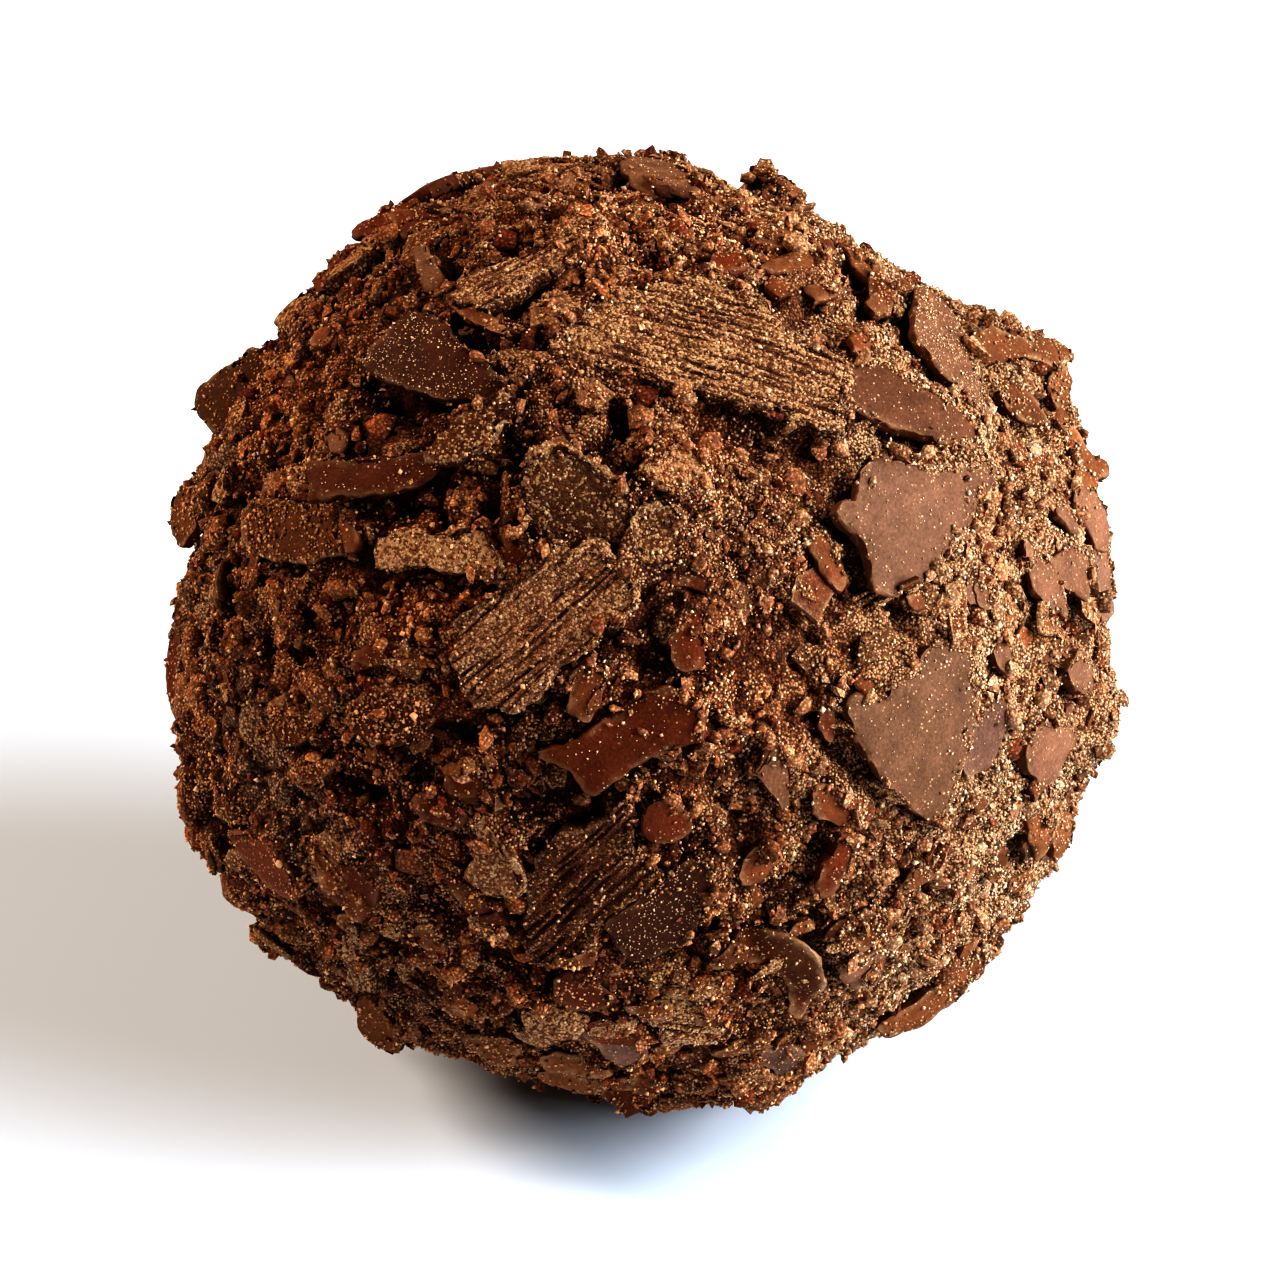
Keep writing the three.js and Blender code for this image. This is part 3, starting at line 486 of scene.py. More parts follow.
def pictured(name, kind, points, salt, facing=0.4, lift=0.0, spin=0.0, thick=None, bend=None, turn=(0.0, 0.0)):
    """A flake whose outline shows at points of the picture; it faces out of the ball or, by the share facing, the camera."""
    points = np.array(points, float)
    middle = (points.min(0) + points.max(0)) / 2
    out = seen(*middle)
    n = out * (1 - facing) - SIGHT * facing + ACROSS * turn[0] + UPWARD * turn[1]
    n /= np.linalg.norm(n)
    at = out * (smooth_radius(out[None])[0] + 0.16 + lift)
    along = ACROSS * math.cos(math.radians(spin)) + UPWARD * math.sin(math.radians(spin))
    along = along - n * (along @ n)
    along /= np.linalg.norm(along)
    M = np.stack([along, np.cross(n, along), n], 1)
    rays = SIGHT + ACROSS * ((points[:, :1] - MIDDLE[0]) * 0.1 / 640) + UPWARD * ((MIDDLE[1] - points[:, 1:]) * 0.1 / 640)
    start = -SIGHT * AWAY
    far = ((at - start) @ n) / (rays @ n)
    local = (start + rays * far[:, None] - at) @ M
    f = Flake((name, kind, 0, 0, 0, 0, 0, 0, [tuple(p) for p in local[:, :2]]), salt, thick, bend, (at, M))
    f.spin = spin
    return f


def ragged(outline, s, spacing, rough):
    """The outline as closely spaced points, broken unevenly."""
    pts, normals, run = [], [], 0.0
    n = len(outline)
    for a in range(n):
        p, q = outline[a], outline[(a + 1) % n]
        e = q - p
        long = np.hypot(*e)
        k = max(1, int(round(long / spacing)))
        for b in range(k):
            pts.append(p + e * b / k)
            normals.append((e[1] / long, -e[0] / long, run + long * b / k))
        run += long
    pts, normals = np.array(pts), np.array(normals)
    # corners are worn a little: each point moves towards the middle of its neighbours
    for _ in range(1):
        pts = pts * 0.6 + 0.2 * (np.roll(pts, 1, 0) + np.roll(pts, -1, 0))
    r = normals[:, 2]
    z = np.zeros_like(r)
    off = (
        0.9 * noise(np.stack([r / 0.9, z, z + s], 1), s)
        + 0.6 * noise(np.stack([r / 0.37, z, z + s], 1), s + 1)
        + 0.35 * noise(np.stack([r / 0.17, z, z + s], 1), s + 2)
    )
    return pts + normals[:, :2] * (off * rough)[:, None]


def triangles(points, loops_of):
    """Faces between points inside the closed loops."""
    edges = [(a, loops_of[(n + 1) % len(loops_of)]) for n, a in enumerate(loops_of)]
    out = delaunay_2d_cdt([Vector(p) for p in points], edges, [], 1, 1e-6)
    return np.array([(v.x, v.y) for v in out[0]]), np.array(out[2])


def flake_mesh(f, spacing=0.15, grid=0.3, rough=0.09, slant=0.0, pitch=0.42, deep=1.0):
    """Closed mesh of a flake in its own frame: points, faces, how near each point is to the edge, depth of the marks."""
    rim = ragged(f.outline, f.salt, spacing, rough)
    rng = np.random.default_rng(f.salt * 17 + 5)
    lo, hi = rim.min(0), rim.max(0)
    squeeze = 3.4 if f.kind == "ridged" else 1.0  # points lie this much closer across the marks than along them
    c, n = math.cos(math.radians(slant)), math.sin(math.radians(slant))
    turn = np.array([[c, -n * squeeze], [n, c * squeeze]])
    half = np.abs(np.vstack([lo, hi])).max() * 1.5
    gx, gy = np.meshgrid(np.arange(-half, half, grid), np.arange(-half * squeeze, half * squeeze, grid * 0.866))
    gx = gx + (np.arange(gx.shape[0]) % 2)[:, None] * grid / 2
    inner = np.stack([gx.ravel(), gy.ravel()], 1) + rng.uniform(-0.12, 0.12, (gx.size, 2)) * grid
    inner = inner @ np.linalg.inv(turn)
    inner = inner[off_outline(inner, rim) < -0.5 * spacing]
    xy, faces = triangles(np.vstack([rim, inner]) @ turn, list(range(len(rim))))
    xy = xy @ np.linalg.inv(turn)
    n = len(rim)
    if len(xy) != len(rim) + len(inner) or np.abs(xy[:n] - rim).max() > 1e-4:
        n = 0
    d = -off_outline(xy, rim)
    z = f.face(xy[:, 0], xy[:, 1])
    cut = np.zeros(len(xy))
    if f.kind == "ridged":
        dz, cut = f.marks(xy[:, 0], xy[:, 1], slant, pitch, deep)
        z = z + dz
    # the flake thins a little towards its broken edge
    z = z - 0.02 * np.exp(-np.maximum(d, 0) / 0.08)
    top = np.stack([xy[:, 0], xy[:, 1], z], 1)
    border = rim_order(faces)
    edge = np.exp(-np.maximum(d, 0) / 0.12) * 0.5
    # rings down the broken side
    b = top[border]
    nxt, prv = np.roll(b, -1, 0), np.roll(b, 1, 0)
    t = (nxt - prv)[:, :2]
    t /= np.linalg.norm(t, axis=1)[:, None] + 1e-9
    side = np.stack([t[:, 1], -t[:, 0]], 1)
    run = np.cumsum(np.hypot(*(b - prv)[:, :2].T))
    zero = np.zeros_like(run)
    rings, ids = [], []
    under = f.face(b[:, 0], b[:, 1]) - f.thick
    for k, (depth, push) in enumerate(((0.16, 0.035), (0.5, 0.03), (0.82, 0.0), (1.0, -0.06))):
        wob = noise(np.stack([run / 0.45, zero + k * 0.6, zero + f.salt], 1), f.salt + 21)
        wob2 = noise(np.stack([run / 0.19, zero + k * 1.7, zero + f.salt], 1), f.salt + 24)
        zz = b[:, 2] + (under - b[:, 2]) * depth + 0.03 * wob2
        off = push + (0.07 * wob + 0.035 * wob2) * (1 if k < 3 else 0.4)
        rings.append(np.column_stack([b[:, :2] + side * off[:, None], zz]))
    pts = np.vstack([top] + rings)
    m = len(border)
    start = [border] + [len(top) + k * m + np.arange(m) for k in range(len(rings))]
    more = []
    for up, down in zip(start, start[1:]):
        u2, d2 = np.roll(up, -1), np.roll(down, -1)
        more.append(np.stack([up, down, d2], 1))
        more.append(np.stack([up, d2, u2], 1))
    base_xy, base_faces = triangles(rings[-1][:, :2], list(range(m)))
    if len(base_xy) == m and len(base_faces):
        base_faces = base_faces[:, ::-1] + start[-1][0]
        if signed(base_xy, base_faces - start[-1][0]) > 0:
            base_faces = base_faces[:, ::-1]
        more.append(base_faces)
    else:  # a fan from the middle
        pts = np.vstack([pts, rings[-1].mean(0)])
        more.append(np.stack([start[-1], np.full(m, len(pts) - 1), np.roll(start[-1], -1)], 1))
    F = np.vstack([faces] + more)
    edge = np.concatenate([edge, np.full(len(pts) - len(top), 1.0)])
    cut = np.concatenate([cut, np.zeros(len(pts) - len(top))])
    return pts, F, edge, cut, len(faces)


def signed(xy, faces):
    a, b, c = (xy[faces[:, k]] for k in range(3))
    return ((b[:, 0] - a[:, 0]) * (c[:, 1] - a[:, 1]) - (b[:, 1] - a[:, 1]) * (c[:, 0] - a[:, 0])).sum()


def rim_order(faces):
    """The points of the border of a mesh of triangles, in order, the mesh on their left."""
    half = np.vstack([faces[:, [0, 1]], faces[:, [1, 2]], faces[:, [2, 0]]])
    twin = set(map(tuple, half[:, ::-1].tolist()))
    nxt = {a: b for a, b in half.tolist() if (a, b) not in twin}
    best = []
    left = dict(nxt)
    while left:
        a = next(iter(left))
        loop = []
        while a in left:
            loop.append(a)
            a = left.pop(a)
        if len(loop) > len(best):
            best = loop
    return np.array(best)


# ---- what sets single flakes apart ----
# Side that stands free of the crumb, as an angle in the picture (0 right, 90 up), how deep the gap beside it is in mm,
# and how much of the outline stands free (1 all of it, 0 none).
FREE = {
    "slab_top": (275, 0.14, 0.25),
    "slab_mid": (250, 0.3, 0.55),
    "slab_low": (150, 0.4, 0.5),
    "slab_rolled": (260, 0.5, 0.5),
    "chip_right": (200, 0.32, 0.4),
    "chip_low_right": (195, 0.38, 0.35),
    "chip_upper": (240, 0.35, 0.35),
    "chip_speckled": (200, 0.2, 0.45),
    "chip_top_a": (225, 0.15, 0.4),
    "chip_top_b": (225, 0.15, 0.4),
    "chip_fold_lower": (225, 0.3, 0.5),
    "chip_small": (250, 0.5, 0.7),
    "chip_long": (250, 0.5, 0.7),
    "chip_fold": (250, 0.9, 0.85),
    "bar_left": (265, 0.55, 0.8),
    "bar_dusty": (260, 0.5, 0.6),
    "shell_centre": (60, 0.25, 0.05),
    "shell_b": (80, 0.12, -0.05),
    "shell_c": (225, 0.08, -0.15),
    "chip_red": (250, 0.4, 0.6),
    "curl_low": (30, 0.6, 0.9),
    "pellet_front": (240, 0.5, 0.9),
    "pellet_right": (230, 0.6, 0.9),
}
# tip, lean and lift that set a flake off from its CAD row
SET = {
    "chip_right": (-3, 1, 0.28),
    "chip_low_right": (-3, 2, 0.22),
    "chip_crown": (0, 0, 0.0),
    "chip_rim": (0, 0, 0.12),
    "chip_small": (2, 0, 0.15),
}
# direction of the shaving marks against the long side, their pitch and depth
MARKS = {
    "slab_top": (-5, 0.29, 0.55),
    "slab_mid": (0, 0.27, 0.6),
    "slab_low": (6, 0.32, 0.7),
    "slab_rolled": (-3, 0.34, 0.6),
    "strip_low": (9, 0.3, 0.8),
    "slab_layers": (-28, 0.5, 1.3),
    "slab_back": (0, 0.42, 1.0),
    "slab_back_low": (4, 0.4, 1.0),
}
# colour and dust of single flakes against their kind
DUSTED = {"slab_low": 0.14, "slab_top": 0.5, "slab_mid": 0.34, "chip_frosted": 0.4, "chip_fold": 0.14, "chip_dark_low": 0.12, "chip_speckled": 0.4, "chip_long": 0.06, "bar_left": 0.08, "left_plate": 0.24, "left_b": 0.2, "left_c": 0.2, "chip_fold_lower": 0.18, "shell_centre": 0.22, "shell_b": 0.3, "shell_c": 0.5, "bar_dusty": 0.5, "chip_left_edge": 0.3, "ledge_a": 0.34, "ledge_b": 0.3, "ledge_c": 0.3, "ledge_d": 0.3, "stick": 0.3}
TINTED = {"chip_right": (0.142, 0.074, 0.045), "chip_low_right": (0.124, 0.065, 0.038), "slab_low": (0.125, 0.045, 0.017), "curl_low": (0.105, 0.040, 0.018), "chip_under": (0.116, 0.062, 0.043), "chip_dark_low": (0.064, 0.024, 0.013), "chip_fold": (0.066, 0.023, 0.013), "bar_left": (0.092, 0.028, 0.013), "chip_fold_lower": (0.112, 0.040, 0.017), "chip_left_edge": (0.085, 0.036, 0.016), "chip_upper": (0.112, 0.051, 0.028), "chip_top_a": (0.165, 0.070, 0.032), "chip_top_b": (0.165, 0.070, 0.032), "r1": (0.165, 0.070, 0.032), "r2": (0.165, 0.070, 0.032), "r4": (0.165, 0.070, 0.032)}
TONE = {
    "bar_left": 0.95,
    "chip_fold": 0.72,
    "chip_long": 0.85,
    "chip_upper": 0.64,
    "chip_small": 1.1,
    "slab_top": 0.81,
    "slab_mid": 0.92,
    "slab_rolled": 0.9,
    "strip_low": 0.75,
    "slab_layers": 0.75,
    "chip_frosted": 1.1,
    "chip_hollow": 0.8,
    "shell_centre": 0.52,
    "bar_dusty": 0.85,
}
# flakes whose edge is rubbed pale on one side, as an angle in their own frame
RIMMED = {"shell_centre": 80, "curl_low": 60, "shell_b": 60, "chip_fold_lower": -60}
# caves in the coat, as strokes in the picture: from, to, half width in mm, depth in mm
CAVES = [
    (592, 457, 628, 474, 0.42, 1.6),
    (380, 398, 420, 402, 0.55, 1.1),
    (465, 345, 480, 335, 0.5, 0.9),
    (495, 430, 510, 450, 0.5, 0.8),
    (700, 420, 815, 452, 0.6, 0.5),
    (640, 585, 650, 640, 0.4, 0.35),
    (612, 640, 640, 668, 0.5, 0.7),
    (545, 700, 585, 715, 0.45, 0.6),
    (845, 560, 875, 600, 0.35, 0.6),
    (1046, 384, 1054, 426, 0.6, 2.4),
    (1062, 432, 1080, 458, 0.4, 1.6),
    (1015, 395, 1030, 410, 0.3, 0.5),
    (820, 700, 850, 770, 0.35, 0.55),
    (725, 805, 745, 840, 0.4, 0.6),
    (650, 500, 690, 520, 0.5, 0.7),
    (520, 480, 540, 520, 0.4, 0.6),
    (540, 800, 600, 775, 0.4, 0.6),
    (300, 510, 400, 515, 0.35, 0.6),
    (400, 500, 380, 520, 0.35, 0.6),
    (440, 250, 470, 300, 0.5, 0.8),
    (830, 720, 800, 660, 0.4, 0.6),
    (900, 600, 930, 640, 0.4, 0.6),
    (1000, 440, 1040, 480, 0.5, 0.8),
    (410, 720, 470, 740, 0.4, 0.6),
    (660, 960, 720, 940, 0.4, 0.6),
    (880, 900, 920, 880, 0.4, 0.6),
    (480, 960, 530, 990, 0.5, 0.7),
    (507, 388, 503, 428, 0.42, 0.9),
    (600, 400, 628, 420, 0.36, 0.8),
    (655, 376, 640, 396, 0.3, 0.6),
    (556, 396, 585, 408, 0.3, 0.6),
    (488, 470, 494, 520, 0.4, 0.7),
    (440, 520, 470, 530, 0.35, 0.6),
    (700, 395, 740, 415, 0.3, 0.5),
    (300, 620, 330, 650, 0.35, 0.6),
    (255, 640, 262, 690, 0.35, 0.6),
    (215, 800, 240, 850, 0.4, 0.7),
    (330, 780, 370, 800, 0.35, 0.6),
    (560, 900, 610, 930, 0.35, 0.6),
    (420, 900, 450, 930, 0.4, 0.7),
    (560, 1040, 620, 1052, 0.3, 0.6),
    (460, 1030, 500, 1050, 0.35, 0.6),
    (690, 1030, 740, 1040, 0.35, 0.6),
]


def far_caves():
    """Caves on the sides that the camera doesn't see, like the others."""
    rng = np.random.default_rng(77)
    out = []
    while len(out) < 44:
        d = rng.normal(size=3)
        d /= np.linalg.norm(d)
        if d @ -SIGHT > 0.15 or d[2] < -0.85:
            continue
        e = d + 0.09 * rng.normal(size=3)
        out.append((d, e / np.linalg.norm(e), rng.uniform(0.4, 0.75), rng.uniform(0.6, 1.2)))
    return out


flakes = []
for n, row in enumerate(FLAKES):
    if row[0] in SET:
        tip, lean, lift = SET[row[0]]
        row = row[:5] + (lift, tip, lean) + row[8:]
    flakes.append(Flake(row, 31 + n))
chips = [Flake(row[:5] + (0.04,) + row[6:], 131 + n, thick=0.32, bend=(14, 12)) for n, row in enumerate(CHIPS)]
# Plates at the outline of the ball and under it, by their outline in the picture, then: share facing the camera, lift,
# direction of the marks, thickness, tone
LEDGES = [
    ("lip_a", "dark", [(349, 229), (357, 221), (372, 216), (381, 209), (400, 202), (416, 196), (420, 206), (404, 216), (390, 226), (376, 233), (360, 234)], 0.35, 0.0, 20, 0.35, 1.1),
    ("lip_b", "dark", [(390, 211), (402, 206), (425, 205), (447, 213), (465, 227), (456, 233), (440, 230), (420, 236), (403, 237), (396, 226)], 0.5, 0.35, -10, 0.5, 0.85),
    ("lip_c", "dark", [(329, 260), (337, 252), (345, 249), (345, 242), (364, 242), (384, 246), (402, 257), (396, 264), (375, 263), (358, 267), (334, 268)], 0.4, 0.1, 0, 0.4, 1.15),
    ("lip_d", "dusty", [(360, 241), (371, 235), (390, 234), (412, 239), (418, 249), (400, 252), (382, 247)], 0.45, 0.3, 0, 0.3, 1.0),
    ("lip_e", "dark", [(313, 278), (328, 270), (350, 266), (354, 275), (340, 285), (320, 290)], 0.4, 0.1, 15, 0.35, 1.1),
    ("lip_f", "dusty", [(270, 321), (277, 311), (290, 297), (312, 290), (318, 298), (308, 314), (296, 328), (280, 330)], 0.35, 0.1, 40, 0.4, 1.0),
    ("pink_chip", "smooth", [(415, 246), (426, 245), (433, 262), (441, 276), (434, 291), (425, 289), (418, 274)], 0.35, 0.3, -60, 0.3, 0.9),
    ("top_plate", "ridged", [(503, 158), (530, 156), (560, 158), (602, 159), (608, 170), (590, 177), (560, 176), (540, 175), (515, 174), (503, 168)], 0.45, 0.25, -2, 0.35, 1.2),
    ("top_chip", "smooth", [(622, 160), (636, 158), (652, 164), (674, 171), (692, 181), (708, 193), (690, 195), (665, 192), (648, 191), (633, 182)], 0.3, 0.2, -30, 0.35, 0.9),
    ("top_lump", "brown", [(644, 158), (655, 153), (668, 149), (679, 153), (680, 163), (672, 171), (658, 163)], 0.5, 0.0, 20, 0.6, 1.3),
    ("stub_a", "brown", [(759, 155), (773, 155), (775, 166), (768, 176), (758, 176), (751, 172), (758, 165)], 0.5, 0.2, 90, 0.5, 1.1),
    ("stub_b", "brown", [(768, 164), (778, 168), (792, 178), (806, 188), (805, 198), (792, 197), (780, 187), (768, 178)], 0.35, 0.05, -35, 0.5, 1.3),
    ("ledge_a", "brown", [(957, 313), (968, 308), (985, 316), (1000, 317), (1009, 313), (1021, 323), (1040, 335), (1052, 333), (1064, 341), (1078, 351), (1070, 364), (1058, 356), (1040, 348), (1020, 345), (1000, 338), (980, 331), (962, 323)], 0.25, 1.0, -25, 0.4, 0.9),
    ("ledge_b", "brown", [(1038, 344), (1054, 346), (1068, 356), (1071, 366), (1060, 368), (1045, 363), (1036, 353)], 0.5, 1.2, -25, 0.3, 0.8),
    ("ledge_c", "brown", [(1060, 358), (1071, 362), (1079, 375), (1076, 391), (1070, 402), (1063, 392), (1058, 372)], 0.35, 1.3, -70, 0.4, 1.1),
    ("ledge_d", "brown", [(1001, 392), (1011, 385), (1025, 386), (1040, 404), (1048, 421), (1035, 422), (1018, 413)], 0.3, 0.5, -40, 0.4, 0.8),
    ("stick", "brown", [(1057, 392), (1069, 394), (1073, 417), (1086, 440), (1097, 452), (1109, 461), (1113, 473), (1101, 480), (1088, 469), (1073, 451), (1066, 432), (1058, 419)], 0.5, 1.3, -55, 0.55, 1.1),
    ("stick_end", "brown", [(1080, 468), (1090, 470), (1101, 481), (1098, 491), (1086, 486)], 0.3, 0.7, -55, 0.4, 1.2),
    ("rim_low", "brown", [(1000, 958), (986, 968), (973, 982), (959, 1001), (939, 1015), (920, 1029), (905, 1031), (889, 1041), (881, 1033), (893, 1018), (915, 1004), (938, 988), (957, 970), (982, 950)], 0.45, 0.2, 40, 0.4, 1.3),
    ("bump_low", "brown", [(354, 1008), (357, 1025), (369, 1042), (384, 1053), (399, 1056), (402, 1040), (392, 1022), (380, 1006), (366, 998)], 0.5, 0.2, -50, 0.5, 1.1),
    ("layer_a", "brown", [(540, 1060), (552, 1053), (575, 1058), (602, 1066), (614, 1077), (592, 1079), (565, 1073), (545, 1074)], 0.4, 0.0, -12, 0.3, 1.3),
    ("layer_b", "brown", [(536, 1078), (560, 1072), (590, 1083), (612, 1088), (600, 1097), (570, 1092), (548, 1088)], 0.4, -0.05, -12, 0.3, 1.3),
    ("plate_low", "dusty", [(518, 1020), (545, 1006), (577, 1009), (592, 1022), (580, 1038), (552, 1047), (530, 1042)], 0.3, 0.3, 0, 0.35, 0.85),
    ("dark_low", "dark", [(552, 984), (566, 974), (600, 985), (614, 999), (600, 1014), (572, 1009), (549, 1000)], 0.15, 0.25, -10, 0.35, 0.95),
    ("bloom_low", "grey", [(588, 1018), (606, 1022), (628, 1036), (648, 1050), (650, 1061), (626, 1070), (606, 1057), (584, 1036)], 0.3, 0.1, -30, 0.35, 1.0),
    ("bloom_right", "grey", [(762, 1052), (790, 1048), (812, 1058), (800, 1070), (778, 1074), (764, 1066)], 0.3, 0.1, 10, 0.35, 1.0),
    ("tip_low", "dark", [(596, 1092), (620, 1084), (648, 1092), (660, 1104), (650, 1118), (640, 1112), (625, 1119), (612, 1106)], 0.6, 0.1, 0, 0.5, 0.9),
    ("right_a", "smooth", [(1078, 480), (1092, 486), (1104, 506), (1110, 530), (1108, 552), (1098, 548), (1088, 520), (1078, 500)], 0.3, 0.25, -70, 0.4, 1.1),
    ("right_b", "smooth", [(1052, 556), (1070, 548), (1094, 545), (1098, 566), (1092, 600), (1078, 594), (1064, 586), (1054, 574)], 0.15, 0.15, -75, 0.4, 1.0),
    ("right_c", "dusty", [(1082, 598), (1104, 600), (1101, 614), (1096, 624), (1084, 616)], 0.3, 0.4, 0, 0.3, 1.2),
    ("curl_rim", "dusty", [(534, 452), (546, 443), (568, 447), (596, 463), (622, 480), (617, 489), (594, 474), (568, 459), (548, 455)], 0.3, 0.62, -25, 0.22, 1.3),
    ("shell_b", "dusty", [(630, 512), (642, 500), (658, 497), (674, 506), (684, 522), (684, 541), (677, 562), (660, 568), (645, 566), (633, 556), (628, 534)], 0.45, 0.25, 80, 0.3, 0.72),
    ("shell_c", "dusty", [(640, 470), (652, 452), (670, 441), (690, 444), (706, 456), (712, 474), (700, 488), (676, 492), (654, 488)], 0.15, 0.25, 10, 0.4, 1.25),
    ("left_low", "dark", [(166, 640), (172, 612), (178, 640), (180, 700), (186, 740), (178, 742), (168, 700)], 0.35, 0.1, 90, 0.4, 0.9),
    ("left_mid", "brown", [(171, 500), (180, 487), (194, 484), (200, 500), (192, 530), (180, 545), (170, 530)], 0.35, 0.1, 90, 0.4, 0.9),
    ("left_plate", "brown", [(238, 508), (250, 498), (275, 498), (305, 501), (335, 504), (345, 506), (353, 525), (360, 543), (352, 552), (325, 556), (300, 561), (270, 558), (248, 550), (238, 535)], 0.2, 0.15, 0, 0.4, 0.7),
    ("left_b", "brown", [(347, 705), (360, 694), (385, 693), (405, 699), (425, 706), (431, 722), (418, 738), (396, 747), (375, 742), (356, 733), (346, 720)], 0.15, 0.12, -15, 0.35, 0.65),
    ("left_c", "brown", [(267, 712), (280, 699), (300, 698), (311, 712), (309, 734), (295, 747), (276, 742), (266, 728)], 0.15, 0.12, -60, 0.35, 0.7),
    ("left_d", "dark", [(444, 778), (456, 769), (478, 770), (489, 782), (484, 797), (464, 800), (448, 793)], 0.2, 0.2, 5, 0.35, 0.9),
    ("left_e", "dark", [(413, 800), (432, 794), (458, 803), (467, 818), (450, 827), (428, 822)], 0.2, 0.15, -20, 0.35, 1.0),
    ("left_f", "dark", [(351, 655), (366, 641), (388, 640), (400, 652), (394, 666), (370, 667)], 0.2, 0.1, 10, 0.35, 0.9),
    ("oval_a", "smooth", [(977, 583), (984, 577), (992, 582), (994, 597), (989, 609), (980, 606), (976, 595)], 0.1, 0.08, -75, 0.4, 0.85),
    ("oval_b", "smooth", [(996, 634), (1003, 629), (1010, 640), (1013, 658), (1009, 674), (1001, 668), (996, 650)], 0.1, 0.08, -75, 0.4, 0.8),
    ("lean_a", "brown", [(1030, 815), (1040, 811), (1052, 822), (1050, 850), (1040, 863), (1031, 845)], 0.2, 0.2, 75, 0.4, 1.2),
    ("lean_b", "brown", [(1054, 812), (1066, 808), (1076, 824), (1070, 850), (1058, 862), (1052, 840)], 0.2, 0.1, 75, 0.4, 1.2),
]
# More of them, lying along the outline: from and to, as an angle in the picture, how near the outline, number, length
# in picture points, kinds.
STRATA = [
    (-150, -100, (0.66, 0.97), 15, (26, 66), ["brown", "dusty", "red", "brown"]),
    (-100, -35, (0.70, 0.97), 21, (24, 66), ["brown", "dusty", "red", "brown"]),
    (150, 205, (0.84, 0.97), 8, (20, 42), ["brown", "dusty"]),
    (-35, 12, (0.87, 0.97), 7, (20, 40), ["brown", "smooth"]),
]
rng = np.random.default_rng(61)
for part, (start, end, near, many, long, kinds) in enumerate(STRATA):
    for n in range(many):
        turn = math.radians(start + (end - start) * (n + rng.random()) / many)
        reach = 466 * rng.uniform(*near)
        cx, cy = MIDDLE[0] + reach * math.cos(turn), MIDDLE[1] - reach * math.sin(turn)
        slope = turn + math.pi / 2 + rng.uniform(-0.3, 0.3)
        half = rng.uniform(*long) / 2
        wide = half * rng.uniform(0.24, 0.48)
        points = []
        for k in range(9):
            t = (k + rng.uniform(-0.3, 0.3)) * 2 * math.pi / 9
            r = rng.uniform(0.8, 1.1)
            r *= 1.15 if k % 3 else 0.8
            u, v = half * r * math.cos(t), wide * r * math.sin(t)
            points.append((cx + u * math.cos(slope) + v * math.sin(slope), cy - u * math.sin(slope) + v * math.cos(slope)))
        row = (f"strata_{part}_{n}", kinds[n % len(kinds)], points, rng.uniform(0.25, 0.5), rng.uniform(0.0, 0.25))
        LEDGES.append(row + (math.degrees(slope) % 180, 0.42, rng.uniform(0.8, 1.35)))
# A curled shaving, hollow along its middle.
curl = pictured("curl_low", "brown", [(733, 950), (740, 934), (758, 926), (784, 926), (806, 936), (819, 953), (822, 974), (817, 995), (813, 1012), (801, 1023), (790, 1011), (788, 990), (780, 973), (766, 961), (749, 959)], 53, 0.14, -0.05, -58, 0.28, (9, 24))
at = [f.name for f in flakes].index("curl_low")
flakes[at] = curl
ledges = []
for n, (name, kind, points, facing, lift, spin, thick, tone) in enumerate(LEDGES):
    ledges.append(pictured(name, kind, points, 500 + n, facing, lift, spin, thick, (16, 14)))
    TONE[name] = tone
for f in (
    pictured("shell_centre", "dusty", [(532, 455), (546, 449), (568, 453), (594, 467), (620, 484), (636, 504), (636, 530), (630, 552), (612, 566), (590, 556), (566, 545), (540, 541), (520, 528), (513, 506), (518, 476)], 325, 0.6, 0.25, -25, 0.4, (16, 12), (-0.1, -0.25)),
    pictured("chip_left_edge", "brown", [(193, 393), (198, 384), (216, 373), (236, 362), (247, 349), (256, 347), (268, 344), (272, 360), (262, 380), (244, 404), (226, 424), (210, 426), (196, 416)], 324, 0.55, 0.05, 45, 0.6, (9, 9)),
    pictured("chip_fold", "dark", [(359, 362), (366, 350), (380, 336), (392, 323), (402, 313), (418, 310), (433, 311), (444, 324), (451, 336), (473, 353), (492, 370), (508, 388), (508, 398), (492, 399), (470, 397), (440, 397), (412, 388), (385, 378)], 321, 0.3, 0.5, -35, 0.5, (26, 20)),
    pictured("chip_fold_lower", "brown", [(503, 386), (513, 395), (508, 412), (496, 430), (484, 444), (466, 456), (446, 464), (426, 462), (420, 452), (432, 440), (446, 428), (456, 414), (472, 404), (488, 394)], 322, 0.2, 0.42, 50, 0.4, (40, 40)),
    pictured("bar_left", "dark", [(306, 463), (330, 460), (360, 458), (400, 455), (430, 452), (438, 459), (434, 470), (413, 485), (400, 488), (360, 493), (330, 498), (304, 502), (308, 484)], 323, 0.35, 0.5, 5, 0.45, (40, 12)),
):
    flakes[[g.name for g in flakes].index(f.name)] = f
edge_chip = pictured("chip_speckled", "smooth", [(921, 286), (927, 280), (938, 285), (950, 302), (961, 320), (969, 340), (976, 365), (991, 395), (1000, 425), (990, 417), (976, 402), (961, 386), (943, 367), (925, 345), (916, 325), (920, 306)], 46, 0.12, 0.2, -55, 0.45, (20, 14))
flakes[[f.name for f in flakes].index("chip_speckled")] = edge_chip
by_name = {f.name: f for f in flakes}
